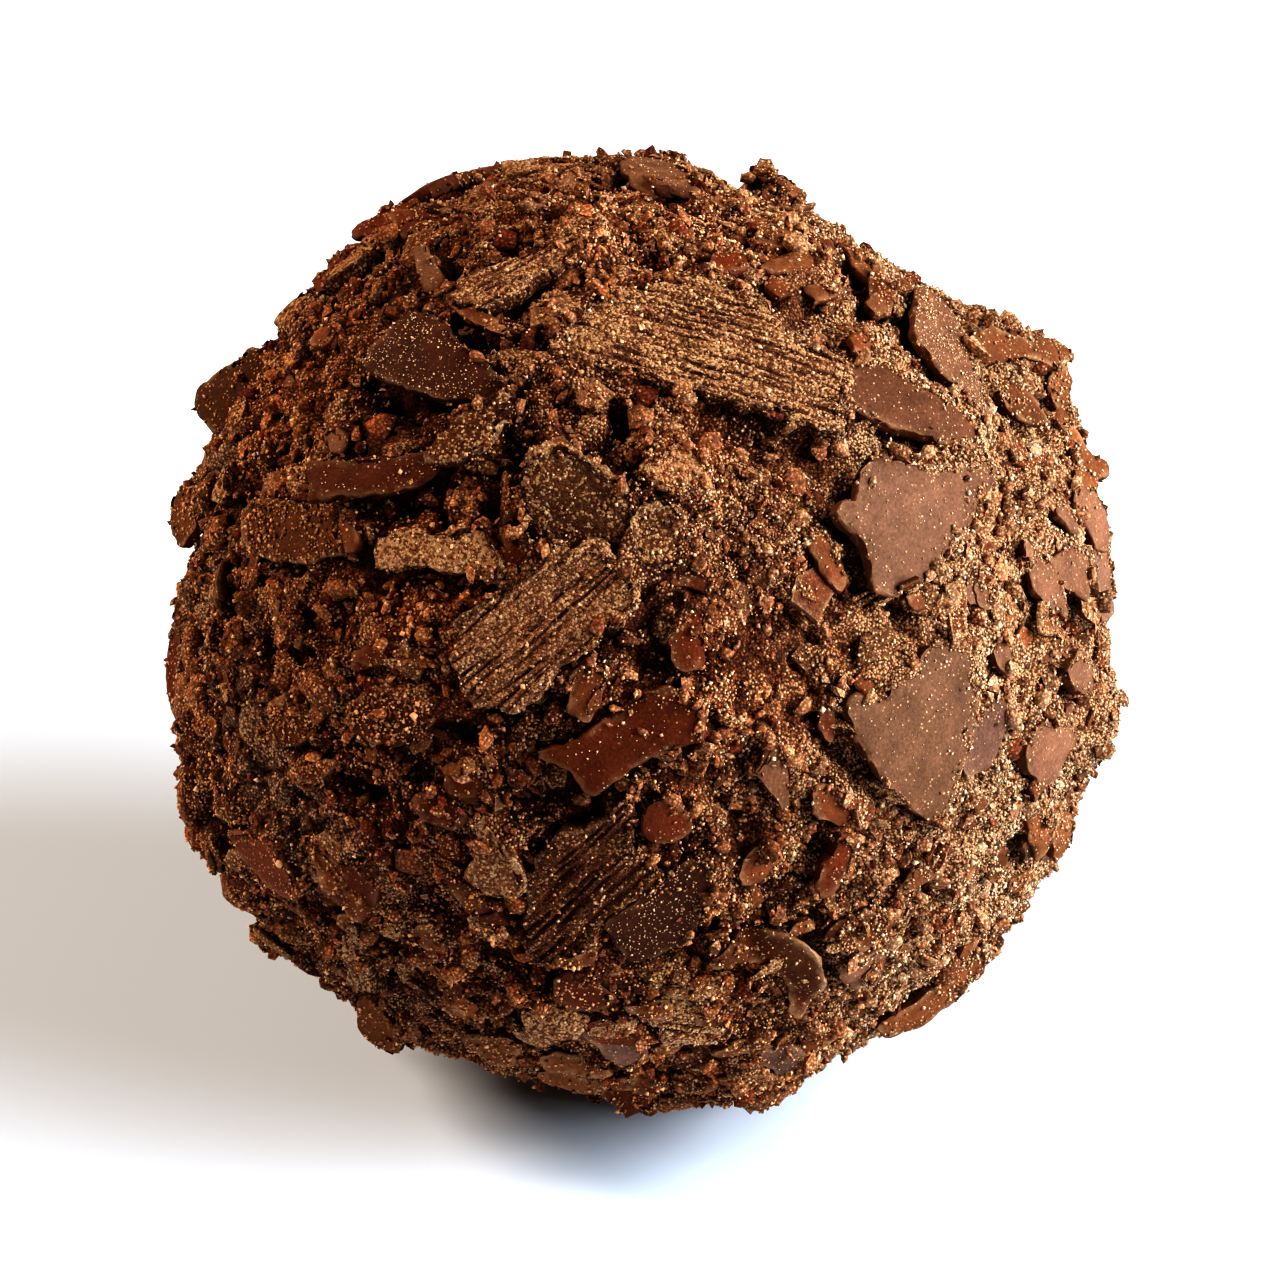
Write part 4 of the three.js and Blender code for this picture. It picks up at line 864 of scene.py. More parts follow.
for f in flakes + chips + ledges:
    angle, f.dig, f.free = FREE.get(f.name, (225, 0.45, 0.6))
    v = (ACROSS * math.cos(math.radians(angle)) + UPWARD * math.sin(math.radians(angle))) @ f.M
    f.open_at = math.atan2(v[1], v[0])
    if f in chips:
        f.dig = 0.14
    if f in ledges and f.name not in FREE:
        f.dig, f.free = 0.16, 0.45 if f.kind == "grey" else 0.6
    if f.name.startswith("strata"):  # a dark slit along the outer side
        away = f.at / np.linalg.norm(f.at) + 0.8 * SIGHT
        f.dig, f.free, f.open_at = 0.34, 0.45, math.atan2(away @ f.M[:, 1], away @ f.M[:, 0])


def openness(f, x, y, P):
    """How free of the crumb the side of a flake nearest to x, y is: 0 covered, 1 free."""
    phi = np.arctan2(y, x)
    e = f.free + 0.55 * np.cos(phi - f.open_at) + 0.35 * noise(P / 0.9, 401)
    return np.clip(e, 0, 1)


# ---- the crumb coat ----
def geodesic(f):
    """Points of a sphere, faces, and a place on a square map for each corner of each face."""
    g = (1 + 5**0.5) / 2
    V = np.array(
        [(-1, g, 0), (1, g, 0), (-1, -g, 0), (1, -g, 0), (0, -1, g), (0, 1, g), (0, -1, -g), (0, 1, -g), (g, 0, -1), (g, 0, 1), (-g, 0, -1), (-g, 0, 1)],
        float,
    )
    T = [(0, 11, 5), (0, 5, 1), (0, 1, 7), (0, 7, 10), (0, 10, 11), (1, 5, 9), (5, 11, 4), (11, 10, 2), (10, 7, 6), (7, 1, 8)]
    T += [(3, 9, 4), (3, 4, 2), (3, 2, 6), (3, 6, 8), (3, 8, 9), (4, 9, 5), (2, 4, 11), (6, 2, 10), (8, 6, 7), (9, 8, 1)]
    ij = [(i, j) for i in range(f + 1) for j in range(f + 1 - i)]
    where = {p: n for n, p in enumerate(ij)}
    IJ = np.array(ij, float) / f
    up = [(where[i, j], where[i + 1, j], where[i, j + 1]) for i, j in ij if i + j < f]
    down = [(where[i + 1, j], where[i + 1, j + 1], where[i, j + 1]) for i, j in ij if i + j < f - 1]
    tri = np.array(up + down)
    pts, faces, uvs = [], [], []
    for n, (a, b, c) in enumerate(T):
        pts.append(V[a] + (V[b] - V[a]) * IJ[:, :1] + (V[c] - V[a]) * IJ[:, 1:])
        faces.append(tri + n * len(ij))
        cell, half = divmod(n, 2)
        uv = IJ * 0.94 + 0.015
        if half:
            uv = 1 - uv
        uvs.append(((uv + (cell % 4, cell // 4)) / (4, 3))[tri])
    P = np.vstack(pts)
    P /= np.linalg.norm(P, axis=1)[:, None]
    _, first, same = np.unique(np.round(P * 1e5).astype(np.int64), axis=0, return_index=True, return_inverse=True)
    return P[first], same.ravel()[np.vstack(faces)], np.vstack(uvs).reshape(-1, 2)


D, core_F, core_uv = geodesic(96)
D = D + 0.2 * -SIGHT
D /= np.linalg.norm(D, axis=1)[:, None]
P0 = D * BALL_RADIUS
W = P0 + 0.45 * wander(P0 / 1.9, 501)
_, _, part_big, big = cells(W / 3.1, 11)
_, _, part_mid, mid = cells(W / 1.35 + 7, 21)
_, _, part_small, small = cells(W / 0.62 + 3, 31)
knobs = 1 + 0.9 * step(0.55, 0.9, -(D @ ACROSS))
relief = 0.26 * big + 0.21 * knobs * mid + 0.13 * small + 0.06 * noise(P0 / 0.25, 61)
core_P = D * (smooth_radius(D) - 0.05 + relief)[:, None]
core_P += 0.13 * wander(P0 / 0.55, 511)
cave = np.zeros(len(D))
strokes = [(seen(a, b), seen(c, d), w, h) for a, b, c, d, w, h in CAVES] + far_caves()
for a, b, wide, deep in strokes:
    a, b = a * 15.7, b * 15.7
    near = np.nonzero(((P0 - (a + b) / 2) ** 2).sum(1) < 36)[0]
    Q = P0[near] + 0.25 * wander(P0[near] / 0.8, 521)
    t = np.clip((Q - a) @ (b - a) / ((b - a) @ (b - a)), 0, 1)
    away = np.linalg.norm(Q - a - t[:, None] * (b - a), axis=1)
    cave[near] = np.maximum(cave[near], 0.8 * deep * np.exp(-((away / wide) ** 2) * 1.2))
core_P -= D * (cave * (0.85 + 0.3 * part_small))[:, None]

covered = np.zeros(len(D), bool)
beside = np.zeros(len(D))
gap = np.zeros(len(D))
for f in chips + ledges + flakes:
    middle = f.at / np.linalg.norm(f.at)
    near = np.nonzero(D @ middle > math.cos((f.reach + 1.4) / 14.5))[0]
    L = f.local(core_P[near])
    x, y, z = L.T
    s = off_outline(L[:, :2], f.outline)
    h = f.face(x, y)
    e = openness(f, x, y, P0[near])
    n1, n2 = noise(P0[near] / 0.5, 531), noise(P0[near] / 0.25, 532)
    creep = (1 - e) * 0.45 * (0.6 + 0.6 * n1)
    over = (s < 0.02) & (s > -creep) & (creep > 0.07)
    under = (s < 0.02) & ~over
    new = z.copy()
    new[over] = np.maximum(z, h + 0.05 + 0.06 * n2)[over]
    beneath = h - 0.12 - (0.5 * f.thick - 0.06) * step(0.0, 0.3, -s)
    new[under] = np.maximum(np.minimum(z - e * f.dig * (0.8 + 0.4 * n1), beneath), z - 1.2)[under]
    out = s >= 0.02
    dig = e * f.dig * np.exp(-((s / 0.34) ** 2)) * (0.8 + 0.4 * n1)
    fill = (1 - e) * np.exp(-((s / 0.55) ** 2)) * np.clip(h + 0.06 * n2 - z, 0, 0.5)
    new[out] = (z - dig + fill)[out]
    core_P[near] += (new - z)[:, None] * f.M[:, 2]
    covered[near] |= under & (s < -0.05)
    if f in flakes:
        beside[near] = np.maximum(beside[near], np.exp(-((np.maximum(s, 0) / 0.6) ** 2)))
    gap[near] = np.maximum(gap[near], np.where(out, dig / 0.6, 0))
low = core_P[:, 2] < 0.02 - BALL_AT[2]
core_P[low, 2] = 0.02 - BALL_AT[2]

# How far each point lies in a hollow: caves, gaps beside flakes, low spots between the clods, and the coat under
# flakes. The colours and dust below use it for painted shade.
depth = np.clip(cave / 0.9, 0, 1) * 0.8 + np.clip(gap, 0, 1) * 0.6
height_cue = 0.9 * mid + 0.5 * small + 0.5 * big
cav = np.clip(0.12 - 0.8 * height_cue + depth, 0, 1)
cav = np.where(covered, 1.0, cav)


def warm(c, green, blue):
    """Colours with no more green and blue than these shares of their red."""
    return np.stack([c[:, 0], np.minimum(c[:, 1], green * c[:, 0]), np.minimum(c[:, 2], blue * c[:, 0])], 1)


def mix(a, b, t):
    t = np.asarray(t)[:, None]
    return np.asarray(a) * (1 - t) + np.asarray(b) * t


# Lighter and darker areas, in the picture: where, radius in mm, brightness, and how much redder.
PATCHES = [
    (265, 405, 2.8, 1.5, 0.01),
    (250, 340, 1.8, 1.35, 0.0),
    (330, 310, 3.4, 1.1, 0.0),
    (430, 260, 2.6, 1.1, 0.0),
    (360, 235, 1.6, 1.3, -0.02),
    (290, 440, 2.0, 1.25, -0.08),
    (330, 400, 1.8, 1.5, -0.12),
    (415, 500, 1.5, 1.55, 0.0),
    (415, 590, 1.6, 1.55, 0.0),
    (660, 595, 2.2, 0.82, 0.0),
    (650, 690, 2.6, 1.3, 0.0),
    (790, 690, 2.0, 1.35, 0.0),
    (320, 780, 1.8, 1.3, 0.0),
    (600, 780, 1.4, 1.15, 0.0),
    (790, 970, 1.6, 1.2, 0.0),
    (700, 405, 1.6, 1.2, 0.0),
    (885, 315, 2.0, 1.35, 0.0),
    (980, 400, 1.8, 1.3, 0.0),
    (885, 590, 1.4, 1.15, 0.0),
    (885, 770, 1.6, 0.85, 0.0),
    (510, 970, 1.7, 1.6, 0.0),
    (610, 960, 1.6, 0.88, 0.0),
    (420, 850, 4.6, 1.08, 0.10),
    (430, 640, 2.4, 1.35, 0.0),
    (700, 480, 1.6, 1.2, 0.0),
    (470, 500, 1.2, 1.2, 0.0),
    (1010, 640, 2.4, 1.18, 0.0),
    (985, 520, 1.6, 1.16, 0.0),
    (1060, 440, 3.0, 1.25, 0.0),
    (640, 225, 3.2, 1.42, 0.0),
    (780, 200, 3.5, 1.14, 0.0),
    (860, 800, 2.2, 1.1, 0.0),
    (695, 1055, 2.0, 1.45, 0.0),
    (760, 600, 3.0, 1.15, 0.0),
    (600, 830, 1.6, 0.8, 0.0),
    (330, 860, 3.0, 0.85, 0.0),
    (520, 790, 1.6, 0.85, 0.0),
]


def local_light(R):
    """Brightness of the coat's colour for unit directions R."""
    f = np.ones(len(R))
    for px, py, wide, much, _ in PATCHES:
        away = np.linalg.norm(R - seen(px, py), axis=1) * 15.8
        f *= 1 + (much - 1) * np.exp(-((away / wide) ** 2))
    return f


def lit_tone(R):
    """What the coat's colour is multiplied by to be paler on the right and browner in the shade."""
    low = np.maximum(step(0.1, 0.6, -(R @ ACROSS)), step(0.15, 0.7, -(R @ UPWARD)) * (1 - step(0.2, 0.7, R @ ACROSS)))
    return (1 + step(0.0, 0.7, R @ ACROSS)[:, None] * np.array([0.15, 0.40, 0.64])) * (1 - low[:, None] * np.array([0.0, 0.11, 0.23]))


def grey_areas(R):
    """Paler grey: a strip along the left outline as the camera sees it, and an area at the lower right."""
    x, up = R @ ACROSS, R @ UPWARD
    middle = np.interp(up, [-0.55, -0.42, -0.22, 0.0, 0.27, 0.6], [-0.55, -0.65, -0.82, -0.93, -0.96, -0.9])
    strip = np.exp(-(((x - middle) / 0.075) ** 2)) * step(-0.6, -0.4, up) * (1 - step(0.35, 0.6, up))
    return np.clip((strip + 0.45 * step(0.35, 0.7, x) * step(0.45, 0.75, -up)) * (0.85 + 0.6 * noise(R * BALL_RADIUS / 1.2, 571)), 0, 1) * (R @ -SIGHT > -0.2)


def local_red(R):
    """What the coat's colour is multiplied by to be redder in some areas."""
    f = np.zeros(len(R))
    for px, py, wide, _, red in PATCHES:
        away = np.linalg.norm(R - seen(px, py), axis=1) * 15.8
        f += red * np.exp(-((away / wide) ** 2))
    return np.stack([1 + 0.3 * f, 1 - 0.8 * f, 1 - 1.3 * f], 1)


clod = np.where(part_mid < 0.34, 0, np.where(part_mid < 0.7, 1, 2))
core_hue = np.array([(0.27, 0.108, 0.046), (0.23, 0.075, 0.027), (0.31, 0.142, 0.070)])[clod] * (0.65 + 0.5 * part_small)[:, None]
crest = np.clip(1.1 * (height_cue - 0.10), 0, 0.6)
# paler towards the right, where the key light falls: painted light
core_hue = mix(core_hue, (0.30, 0.165, 0.095), 0.5 * step(0.0, 0.6, D @ ACROSS))
core_hue = mix(core_hue, TAN, crest)
lit = step(0.0, 0.7, D @ ACROSS)
# hollows: warm amber as painted shade, but paler on the lit side as a painted glow of light through the chocolate; the
# deepest ones, away from the light, are umber as painted shade
core_hue = mix(core_hue, mix(AMBER, (0.34, 0.15, 0.068), lit), np.clip(1.6 * cav, 0, 0.7))
core_hue = mix(core_hue, UMBER, np.clip(1.5 * cav - 0.6, 0, 0.9) * (1 - 0.9 * lit))
# paler grey along the left outline and at the lower right
aside = D @ ACROSS
grey_share = grey_areas(D) * (1 - cav)
core_hue = mix(core_hue, (0.53, 0.40, 0.29), 0.8 * grey_share)
# darker towards the left and the bottom, away from the light: painted shade
core_hue = core_hue * (0.95 * local_light(D) * (1 - 0.16 * step(0.0, 0.6, -aside)) * (1 - 0.1 * step(0.2, 0.7, -(D @ UPWARD))))[:, None]
core_hue = core_hue * local_red(D) * (1 + 0.5 * (lit_tone(D) - 1) * (1 - cav)[:, None])
# dust: more towards the lit right, less on the shaded left and in hollows, so that it also paints light and shade into
# the coat
core_dust_and_painted_light = np.clip(0.6 + 0.32 * step(0.0, 0.8, aside) - 0.1 * step(0.0, 0.7, -aside) * (1 - grey_share) + 0.25 * noise(P0 / 1.7, 541) + 0.25 * noise(P0 / 0.8, 542) - 0.6 * cav * (1 - 0.5 * lit), 0, 1)


# ---- meshes ----
def tint(object_name, V, F, hue, loc, dust, gloss, material, slot, uv=None, smooth=False, sharp=40):
    """A mesh object from points in mm round the middle of the ball, with its colour and finish in attributes."""
    V = np.column_stack([V[:, :2], np.maximum(V[:, 2], 0.02 - BALL_AT[2])])  # what the ball stands on is pressed flat
    me = bpy.data.meshes.new(object_name)
    me.from_pydata(((V + BALL_AT) * 0.001).tolist(), [], F.tolist())
    for name, kind, key, data in (
        ("hue", "FLOAT_COLOR", "color", np.column_stack([hue, np.ones(len(V))])),
        ("loc", "FLOAT_VECTOR", "vector", loc),
        ("dust", "FLOAT", "value", dust),
        ("gloss", "FLOAT", "value", gloss),
    ):
        a = me.attributes.new(name, kind, "POINT")
        a.data.foreach_set(key, np.ascontiguousarray(data, np.float32).ravel())
    if uv is not None:
        layer = me.uv_layers.new(name="OFBake")
        layer.data.foreach_set("uv", np.ascontiguousarray(uv, np.float32).ravel())
    me.polygons.foreach_set("use_smooth", np.full(len(F), smooth))
    me.update()
    if smooth and sharp:
        me.set_sharp_from_angle(angle=math.radians(sharp))
    me.materials.append(material)
    ob = bpy.data.objects.new(object_name, me)
    bpy.context.scene.collection.objects.link(ob)
    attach(ob, "root")
    return ob


def finish_material(name, speck, mottle, bump, rough, scratch=0.0, fine=7.0, spec=0.18, dots=None, fleck=0.0, gaps=0.5):
    """Chocolate with its colour in the attribute hue, dusted by the attribute dust."""
    m = bpy.data.materials.new(name)
    m.use_nodes = True
    nt = m.node_tree
    nt.nodes.clear()
    N, link = nt.nodes.new, nt.links.new

    def attribute(key):
        a = N("ShaderNodeAttribute")
        a.attribute_name = key
        return a

    def maths(kind, a, b=None, clamp=False):
        n = N("ShaderNodeMath")
        n.operation, n.use_clamp = kind, clamp
        for i, v in enumerate((a, b)):
            if v is None:
                continue
            if isinstance(v, (int, float)):
                n.inputs[i].default_value = v
            else:
                link(v, n.inputs[i])
        return n.outputs[0]

    def spans(v, a, b, c, d):
        n = N("ShaderNodeMapRange")
        n.clamp = True
        link(v, n.inputs[0])
        for i, t in enumerate((a, b, c, d)):
            n.inputs[i + 1].default_value = t
        return n.outputs[0]

    hue, loc, dust, gloss = (attribute(k) for k in ("hue", "loc", "dust", "gloss"))
    place = loc.outputs["Vector"]
    cloud = N("ShaderNodeTexNoise")
    cloud.inputs["Scale"].default_value = 1.1
    cloud.inputs["Detail"].default_value = 3
    link(place, cloud.inputs["Vector"])
    speckle = N("ShaderNodeTexVoronoi")
    speckle.inputs["Scale"].default_value = fine
    link(place, speckle.inputs["Vector"])
    parts = N("ShaderNodeSeparateColor")
    link(speckle.outputs["Color"], parts.inputs[0])
    grain = parts.outputs[0]
    # mottling
    bright = spans(cloud.outputs["Fac"], 0.3, 0.7, 1 - mottle, 1 + mottle)
    bright = maths("MULTIPLY", bright, spans(parts.outputs[1], 0, 1, 1 - speck * 0.55, 1 + speck * 0.55))
    # dust: grains of it, more of them where the attribute is higher; the attribute is also raised towards the lit side
    # and lowered in hollows and grooves, so there the pale grains are painted light and shade as well
    amount = maths("SUBTRACT", dust.outputs["Fac"], grain)
    amount = spans(amount, -0.02, 0.10, 0, 1)
    if dots:
        amount = maths("MULTIPLY", amount, spans(speckle.outputs["Distance"], *dots, 1, 0))
    shade = spans(speckle.outputs["Distance"], 0.2, 0.62, 1.0 + 0.3 * speck, 1.0 - gaps * speck)
    bright = maths("MULTIPLY", bright, shade)
    fuzz = N("ShaderNodeTexNoise")
    fuzz.inputs["Scale"].default_value = fine * 0.9
    fuzz.inputs["Detail"].default_value = 4
    fuzz.inputs["Roughness"].default_value = 0.65
    link(place, fuzz.inputs["Vector"])
    if fleck:
        bright = maths("MULTIPLY", bright, spans(fuzz.outputs["Fac"], 0.32, 0.68, 1 - fleck, 1 + fleck))
    base = N("ShaderNodeMix")
    base.data_type, base.blend_type = "RGBA", "MULTIPLY"
    base.inputs[0].default_value = 1
    link(hue.outputs["Color"], base.inputs[6])
    grey = N("ShaderNodeCombineColor")
    for i in range(3):
        link(bright, grey.inputs[i])
    link(grey.outputs[0], base.inputs[7])
    dusted = N("ShaderNodeMix")
    dusted.data_type = "RGBA"
    link(maths("MULTIPLY", amount, 0.85), dusted.inputs[0])
    link(base.outputs[2], dusted.inputs[6])
    powder = N("ShaderNodeMix")
    powder.data_type = "RGBA"
    link(maths("MULTIPLY", parts.outputs[2], shade), powder.inputs[0])
    powder.inputs[6].default_value = (0.34, 0.185, 0.092, 1)
    powder.inputs[7].default_value = (0.60, 0.42, 0.25, 1)
    link(powder.outputs[2], dusted.inputs[7])
    shader = N("ShaderNodeBsdfPrincipled")
    link(dusted.outputs[2], shader.inputs["Base Color"])
    shader.inputs["Specular IOR Level"].default_value = spec
    shine = spans(gloss.outputs["Fac"], 0, 1, rough[1], rough[0])
    link(maths("MAXIMUM", shine, maths("MULTIPLY", amount, 0.9)), shader.inputs["Roughness"])
    # relief finer than the mesh
    tall = maths("MULTIPLY", maths("SUBTRACT", 0.6, speckle.outputs["Distance"]), 1.0)
    tall = maths("MULTIPLY", tall, maths("ADD", maths("MULTIPLY", dust.outputs["Fac"], 0.9), 0.15 + 0.4 * speck))
    tall = maths("ADD", maths("MULTIPLY", tall, 0.6), maths("MULTIPLY", fuzz.outputs["Fac"], 0.9))
    if scratch:
        stretch = N("ShaderNodeMapping")
        stretch.inputs["Scale"].default_value = (0.7, 9.0, 1.0)
        link(place, stretch.inputs["Vector"])
        lines = N("ShaderNodeTexNoise")
        lines.inputs["Scale"].default_value = 1.0
        lines.inputs["Detail"].default_value = 3
        link(stretch.outputs[0], lines.inputs["Vector"])
        tall = maths("ADD", tall, maths("MULTIPLY", lines.outputs["Fac"], scratch))
    b = N("ShaderNodeBump")
    b.inputs["Strength"].default_value = 1.0
    b.inputs["Distance"].default_value = bump * 0.001
    link(tall, b.inputs["Height"])
    link(b.outputs[0], shader.inputs["Normal"])
    out = N("ShaderNodeOutputMaterial")
    link(shader.outputs[0], out.inputs["Surface"])
    return m


def plain_material(name, rough, spec=0.15):
    """For loose grains and crumbs, each of one colour."""
    m = bpy.data.materials.new(name)
    m.use_nodes = True
    nt = m.node_tree
    nt.nodes.clear()
    a = nt.nodes.new("ShaderNodeAttribute")
    a.attribute_name = "hue"
    s = nt.nodes.new("ShaderNodeBsdfPrincipled")
    nt.links.new(a.outputs["Color"], s.inputs["Base Color"])
    s.inputs["Roughness"].default_value = rough
    s.inputs["Specular IOR Level"].default_value = spec
    o = nt.nodes.new("ShaderNodeOutputMaterial")
    nt.links.new(s.outputs[0], o.inputs["Surface"])
    return m


coat_stuff = finish_material("crumb_coat", speck=0.95, mottle=0.14, bump=0.10, rough=(0.6, 0.92), fine=11.0, dots=(0.44, 0.60), gaps=0.75)
smooth_stuff = finish_material("satin_flake", speck=0.10, mottle=0.2, bump=0.035, rough=(0.5, 0.8), scratch=0.2, fine=9.5, spec=0.08, dots=(0.24, 0.40), fleck=0.22)
dusty_stuff = finish_material("dusty_flake", speck=0.55, mottle=0.25, bump=0.08, rough=(0.55, 0.9), scratch=0.3, fine=13.0, gaps=0.7)
shard_stuff = finish_material("shard", speck=0.4, mottle=0.16, bump=0.05, rough=(0.5, 0.85), fine=12.0, spec=0.1, dots=(0.36, 0.52), gaps=0.7)
ridged_stuff = finish_material("ridged_flake", speck=0.85, mottle=0.2, bump=0.06, rough=(0.6, 0.9), scratch=1.4, fine=14.0, gaps=0.62)
crumb_stuff = finish_material("crumb", speck=0.75, mottle=0.15, bump=0.06, rough=(0.6, 0.9), fine=10.0, dots=(0.36, 0.52), gaps=0.7)
grain_stuff = plain_material("grain", 0.85)

skins = []  # surfaces that loose pieces lie on: corners A, B, C and, for each face, the shares of grains, lumps, specks and crumbs


def skin(V, F, grains=0.0, lumps=0.0, specks=0.0, creeping=0.0):
    shares = [np.broadcast_to(np.asarray(a, float), (len(F),)) for a in (grains, lumps, specks, creeping)]
    skins.append((V[F[:, 0]], V[F[:, 1]], V[F[:, 2]], *shares))


bare_face = ~covered[core_F].any(1)
hollow = np.clip(cave / 0.45, 0, 1)
# more pale fine grains towards the lit right and fewer in hollows: painted light and shade
fine_share = (np.clip(0.85 + 1.4 * noise(P0 / 1.7, 551) + 0.7 * noise(P0 / 0.7, 553) - 0.5 * cav, 0.05, 3.0) * (1 - 0.55 * hollow) * (1 + 0.45 * aside))[core_F].mean(1)
lump_share = (np.clip(0.8 + 0.9 * noise(P0 / 2.3, 552), 0.15, 2.0) * (1 - hollow) * (1 - 0.4 * step(0.3, 0.9, -aside)))[core_F].mean(1)
beside = 0.85 * beside[core_F].mean(1)
skin(core_P, core_F, fine_share * bare_face, lump_share * (1 - beside) * bare_face, 0.0, lump_share * beside * bare_face)
tint("crumb_core", core_P, core_F, core_hue, core_P, core_dust_and_painted_light, 0.3 + 0.5 * part_small, coat_stuff, "coat", uv=core_uv, smooth=True, sharp=0)
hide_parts("coated_ball")

GRAINY = {"left_plate": 2.4, "left_b": 2.2, "left_c": 2.2, "left_mid": 0.8, "left_low": 0.4, "lip_c": 0.6, "lip_d": 0.8, "lip_e": 0.6, "chip_fold_lower": 0.35, "shell_c": 0.9, "shell_b": 0.5, "ledge_a": 0.5, "ledge_c": 0.5}
GRAINS_ON = {"brown": 0.14, "ridged": 0.2, "smooth": 0.0, "dark": 0.03, "dusty": 0.3, "red": 0.05, "grey": 0.1}
SPECKS_ON = {"brown": 1.0, "ridged": 0.6, "smooth": 1.0, "dark": 1.3, "dusty": 0.6, "red": 1.0, "grey": 1.0}
DUST_ON = {"brown": 0.25, "ridged": 0.5, "smooth": 0.10, "dark": 0.16, "dusty": 0.5, "red": 0.12, "grey": 0.15}
SPECKLED = {"chip_speckled": 16.0, "chip_fold": 8.0, "chip_dark_low": 6.0, "chip_long": 1.0, "bar_left": 2.0, "slab_low": 0.4, "curl_low": 0.5}


def make_flake(f):
    """Points, faces and attributes of one flake, in place."""
    front = f.M[:, 2] @ -SIGHT > 0.1
    ridged = f.kind == "ridged"
    grid = (0.26 if front else 0.36) if ridged else (0.28 if front else 0.4)
    slant, pitch, deep = MARKS.get(f.name, (0, 0.4, 1.0))
    rough = 0.09 if f in chips or f in ledges else {"ridged": 0.2, "dusty": 0.13}.get(f.kind, 0.085)
    if f.name.startswith(("pellet", "shell")):
        rough = 0.16
    L, F, edge, cut, tops = flake_mesh(f, 0.14 if front else 0.2, grid, rough, slant, pitch, deep)
    V = f.world(L)
    own = TINTED.get(f.name)
    tone = 1.0 if own else TONE.get(f.name, 1.0) * (0.9 + 0.2 * ((f.salt * 0.618) % 1))
    hue = np.tile(np.array(own or HUES[f.kind]) * tone, (len(L), 1))
    # the broken sides and a thin band along the rim are darker and redder: painted shade
    cheek = mix(np.array(own or HUES[f.kind]) * tone, RED, np.full(len(L), 0.5)) * 0.62
    hue = mix(hue, cheek, np.clip(edge, 0, 1))
    worn = np.where(edge < 0.99, np.clip(edge * 2.2 - 0.4, 0, 1), 0) * np.clip(0.3 + 1.2 * noise(V / 0.5, 563), 0, 0.26 if f.kind in ("smooth", "dark") else 0.55)
    if f.name in RIMMED:
        on = step(0.1, 0.6, np.cos(np.arctan2(L[:, 1], L[:, 0]) - math.radians(RIMMED[f.name])))
        worn = np.maximum(worn, 0.75 * on * step(0.12, 0.35, edge) * (1 - 0.5 * step(0.6, 0.9, edge)))
    hue = mix(hue, TAN, worn)
    # the grooves of the shaving marks are umber: painted shade
    hue = mix(hue, UMBER, np.clip(cut * 0.85, 0, 1))
    x, y = L[:, 0], L[:, 1]
    # a painted shadow along the hollow of the curl
    if f.name == "curl_low":
        hue = mix(hue, UMBER, 0.75 * np.exp(-(((y - 0.1) / 0.3) ** 2)))
    s = off_outline(L[:, :2], f.outline)
    e = openness(f, x, y, V)
    near = (1 - e) * np.exp(np.minimum(s, 0) / 0.35)
    # dust is lower in the grooves of the marks: painted shade
    dust = DUSTED.get(f.name, DUST_ON[f.kind]) * (1 + 0.35 * noise(V / 0.8, 561)) + 0.45 * near - 0.7 * np.clip(cut, 0, 1)
    dust = np.where(edge > 0.9, dust * 0.4, dust)
    gloss = np.full(len(L), {"smooth": 0.9, "dark": 0.95, "red": 0.8}.get(f.kind, 0.3)) - 0.3 * near
    patchy = 1 + 0.8 * noise(V / 0.9, 562)
    share = GRAINY.get(f.name, max(GRAINS_ON[f.kind], 0.9 if f.name.startswith("strata") else 0.5 if f in ledges and f.kind in ("brown", "red", "dark") else 0.0)) * np.clip(patchy * 1.5 - 0.4, 0.1, 3) + 0.55 * near
    FT = F[:tops]
    skin(V, FT, np.clip(share, 0, 3)[FT].mean(1), 0.0, (SPECKS_ON[f.kind] * SPECKLED.get(f.name, 1.0) * patchy)[FT].mean(1), 0.35 * near[FT].mean(1))
    skin(V, F[tops:], 0.12)
    c, n = math.cos(math.radians(slant)), math.sin(math.radians(slant))
    loc = L @ np.array([[c, -n, 0], [n, c, 0], [0, 0, 1]]) + (f.salt * 1.7, f.salt * 0.9, f.salt * 2.3)
    return V, F, hue, loc, np.clip(dust, 0, 1), np.clip(gloss, 0, 1)


def join(parts):
    V, F, rest, n = [], [], [[] for _ in parts[0][2:]], 0
    for p in parts:
        V.append(p[0])
        F.append(p[1] + n)
        n += len(p[0])
        for k, a in enumerate(p[2:]):
            rest[k].append(a)
    return [np.vstack(V), np.vstack(F)] + [np.vstack(a) if a[0].ndim > 1 else np.concatenate(a) for a in rest]


PIECES = {
    "slab_top": ["slab_top"],
    "slab_mid": ["slab_mid"],
    "slab_low": ["slab_low"],
    "slab_rolled": ["slab_rolled"],
    "slabs": ["strip_low", "slab_layers", "slab_back", "slab_back_low"],
    "chip_right": ["chip_right"],
    "chip_low_right": ["chip_low_right"],
    "chip_upper": ["chip_upper"],
    "milk_chips": ["chip_under", "chip_small", "chip_speckled", "chip_top_a", "chip_top_b", "chip_f35", "chip_f15", "chip_rim", "chip_crown"],
    "milk_chips_back": ["chip_back_wide", "chip_back_low", "chip_back_small", "chip_side"],
    "chip_long": ["chip_long"],
    "chip_fold": ["chip_fold"],
    "bar_left": ["bar_left"],
    "dark_chips": ["chip_dark_low", "chip_lower_left", "chip_hollow", "chip_red", "curl_low", "pellet_front", "pellet_right", "chip_bottom", "chip_left_edge"],
    "dark_chips_back": ["chip_back_dark", "chip_back_long"],
    "shell_centre": ["shell_centre"],
    "dusty_chips": ["bar_dusty", "chip_fold_lower", "chip_frosted", "bar_back"],
}
nodes = set(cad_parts)
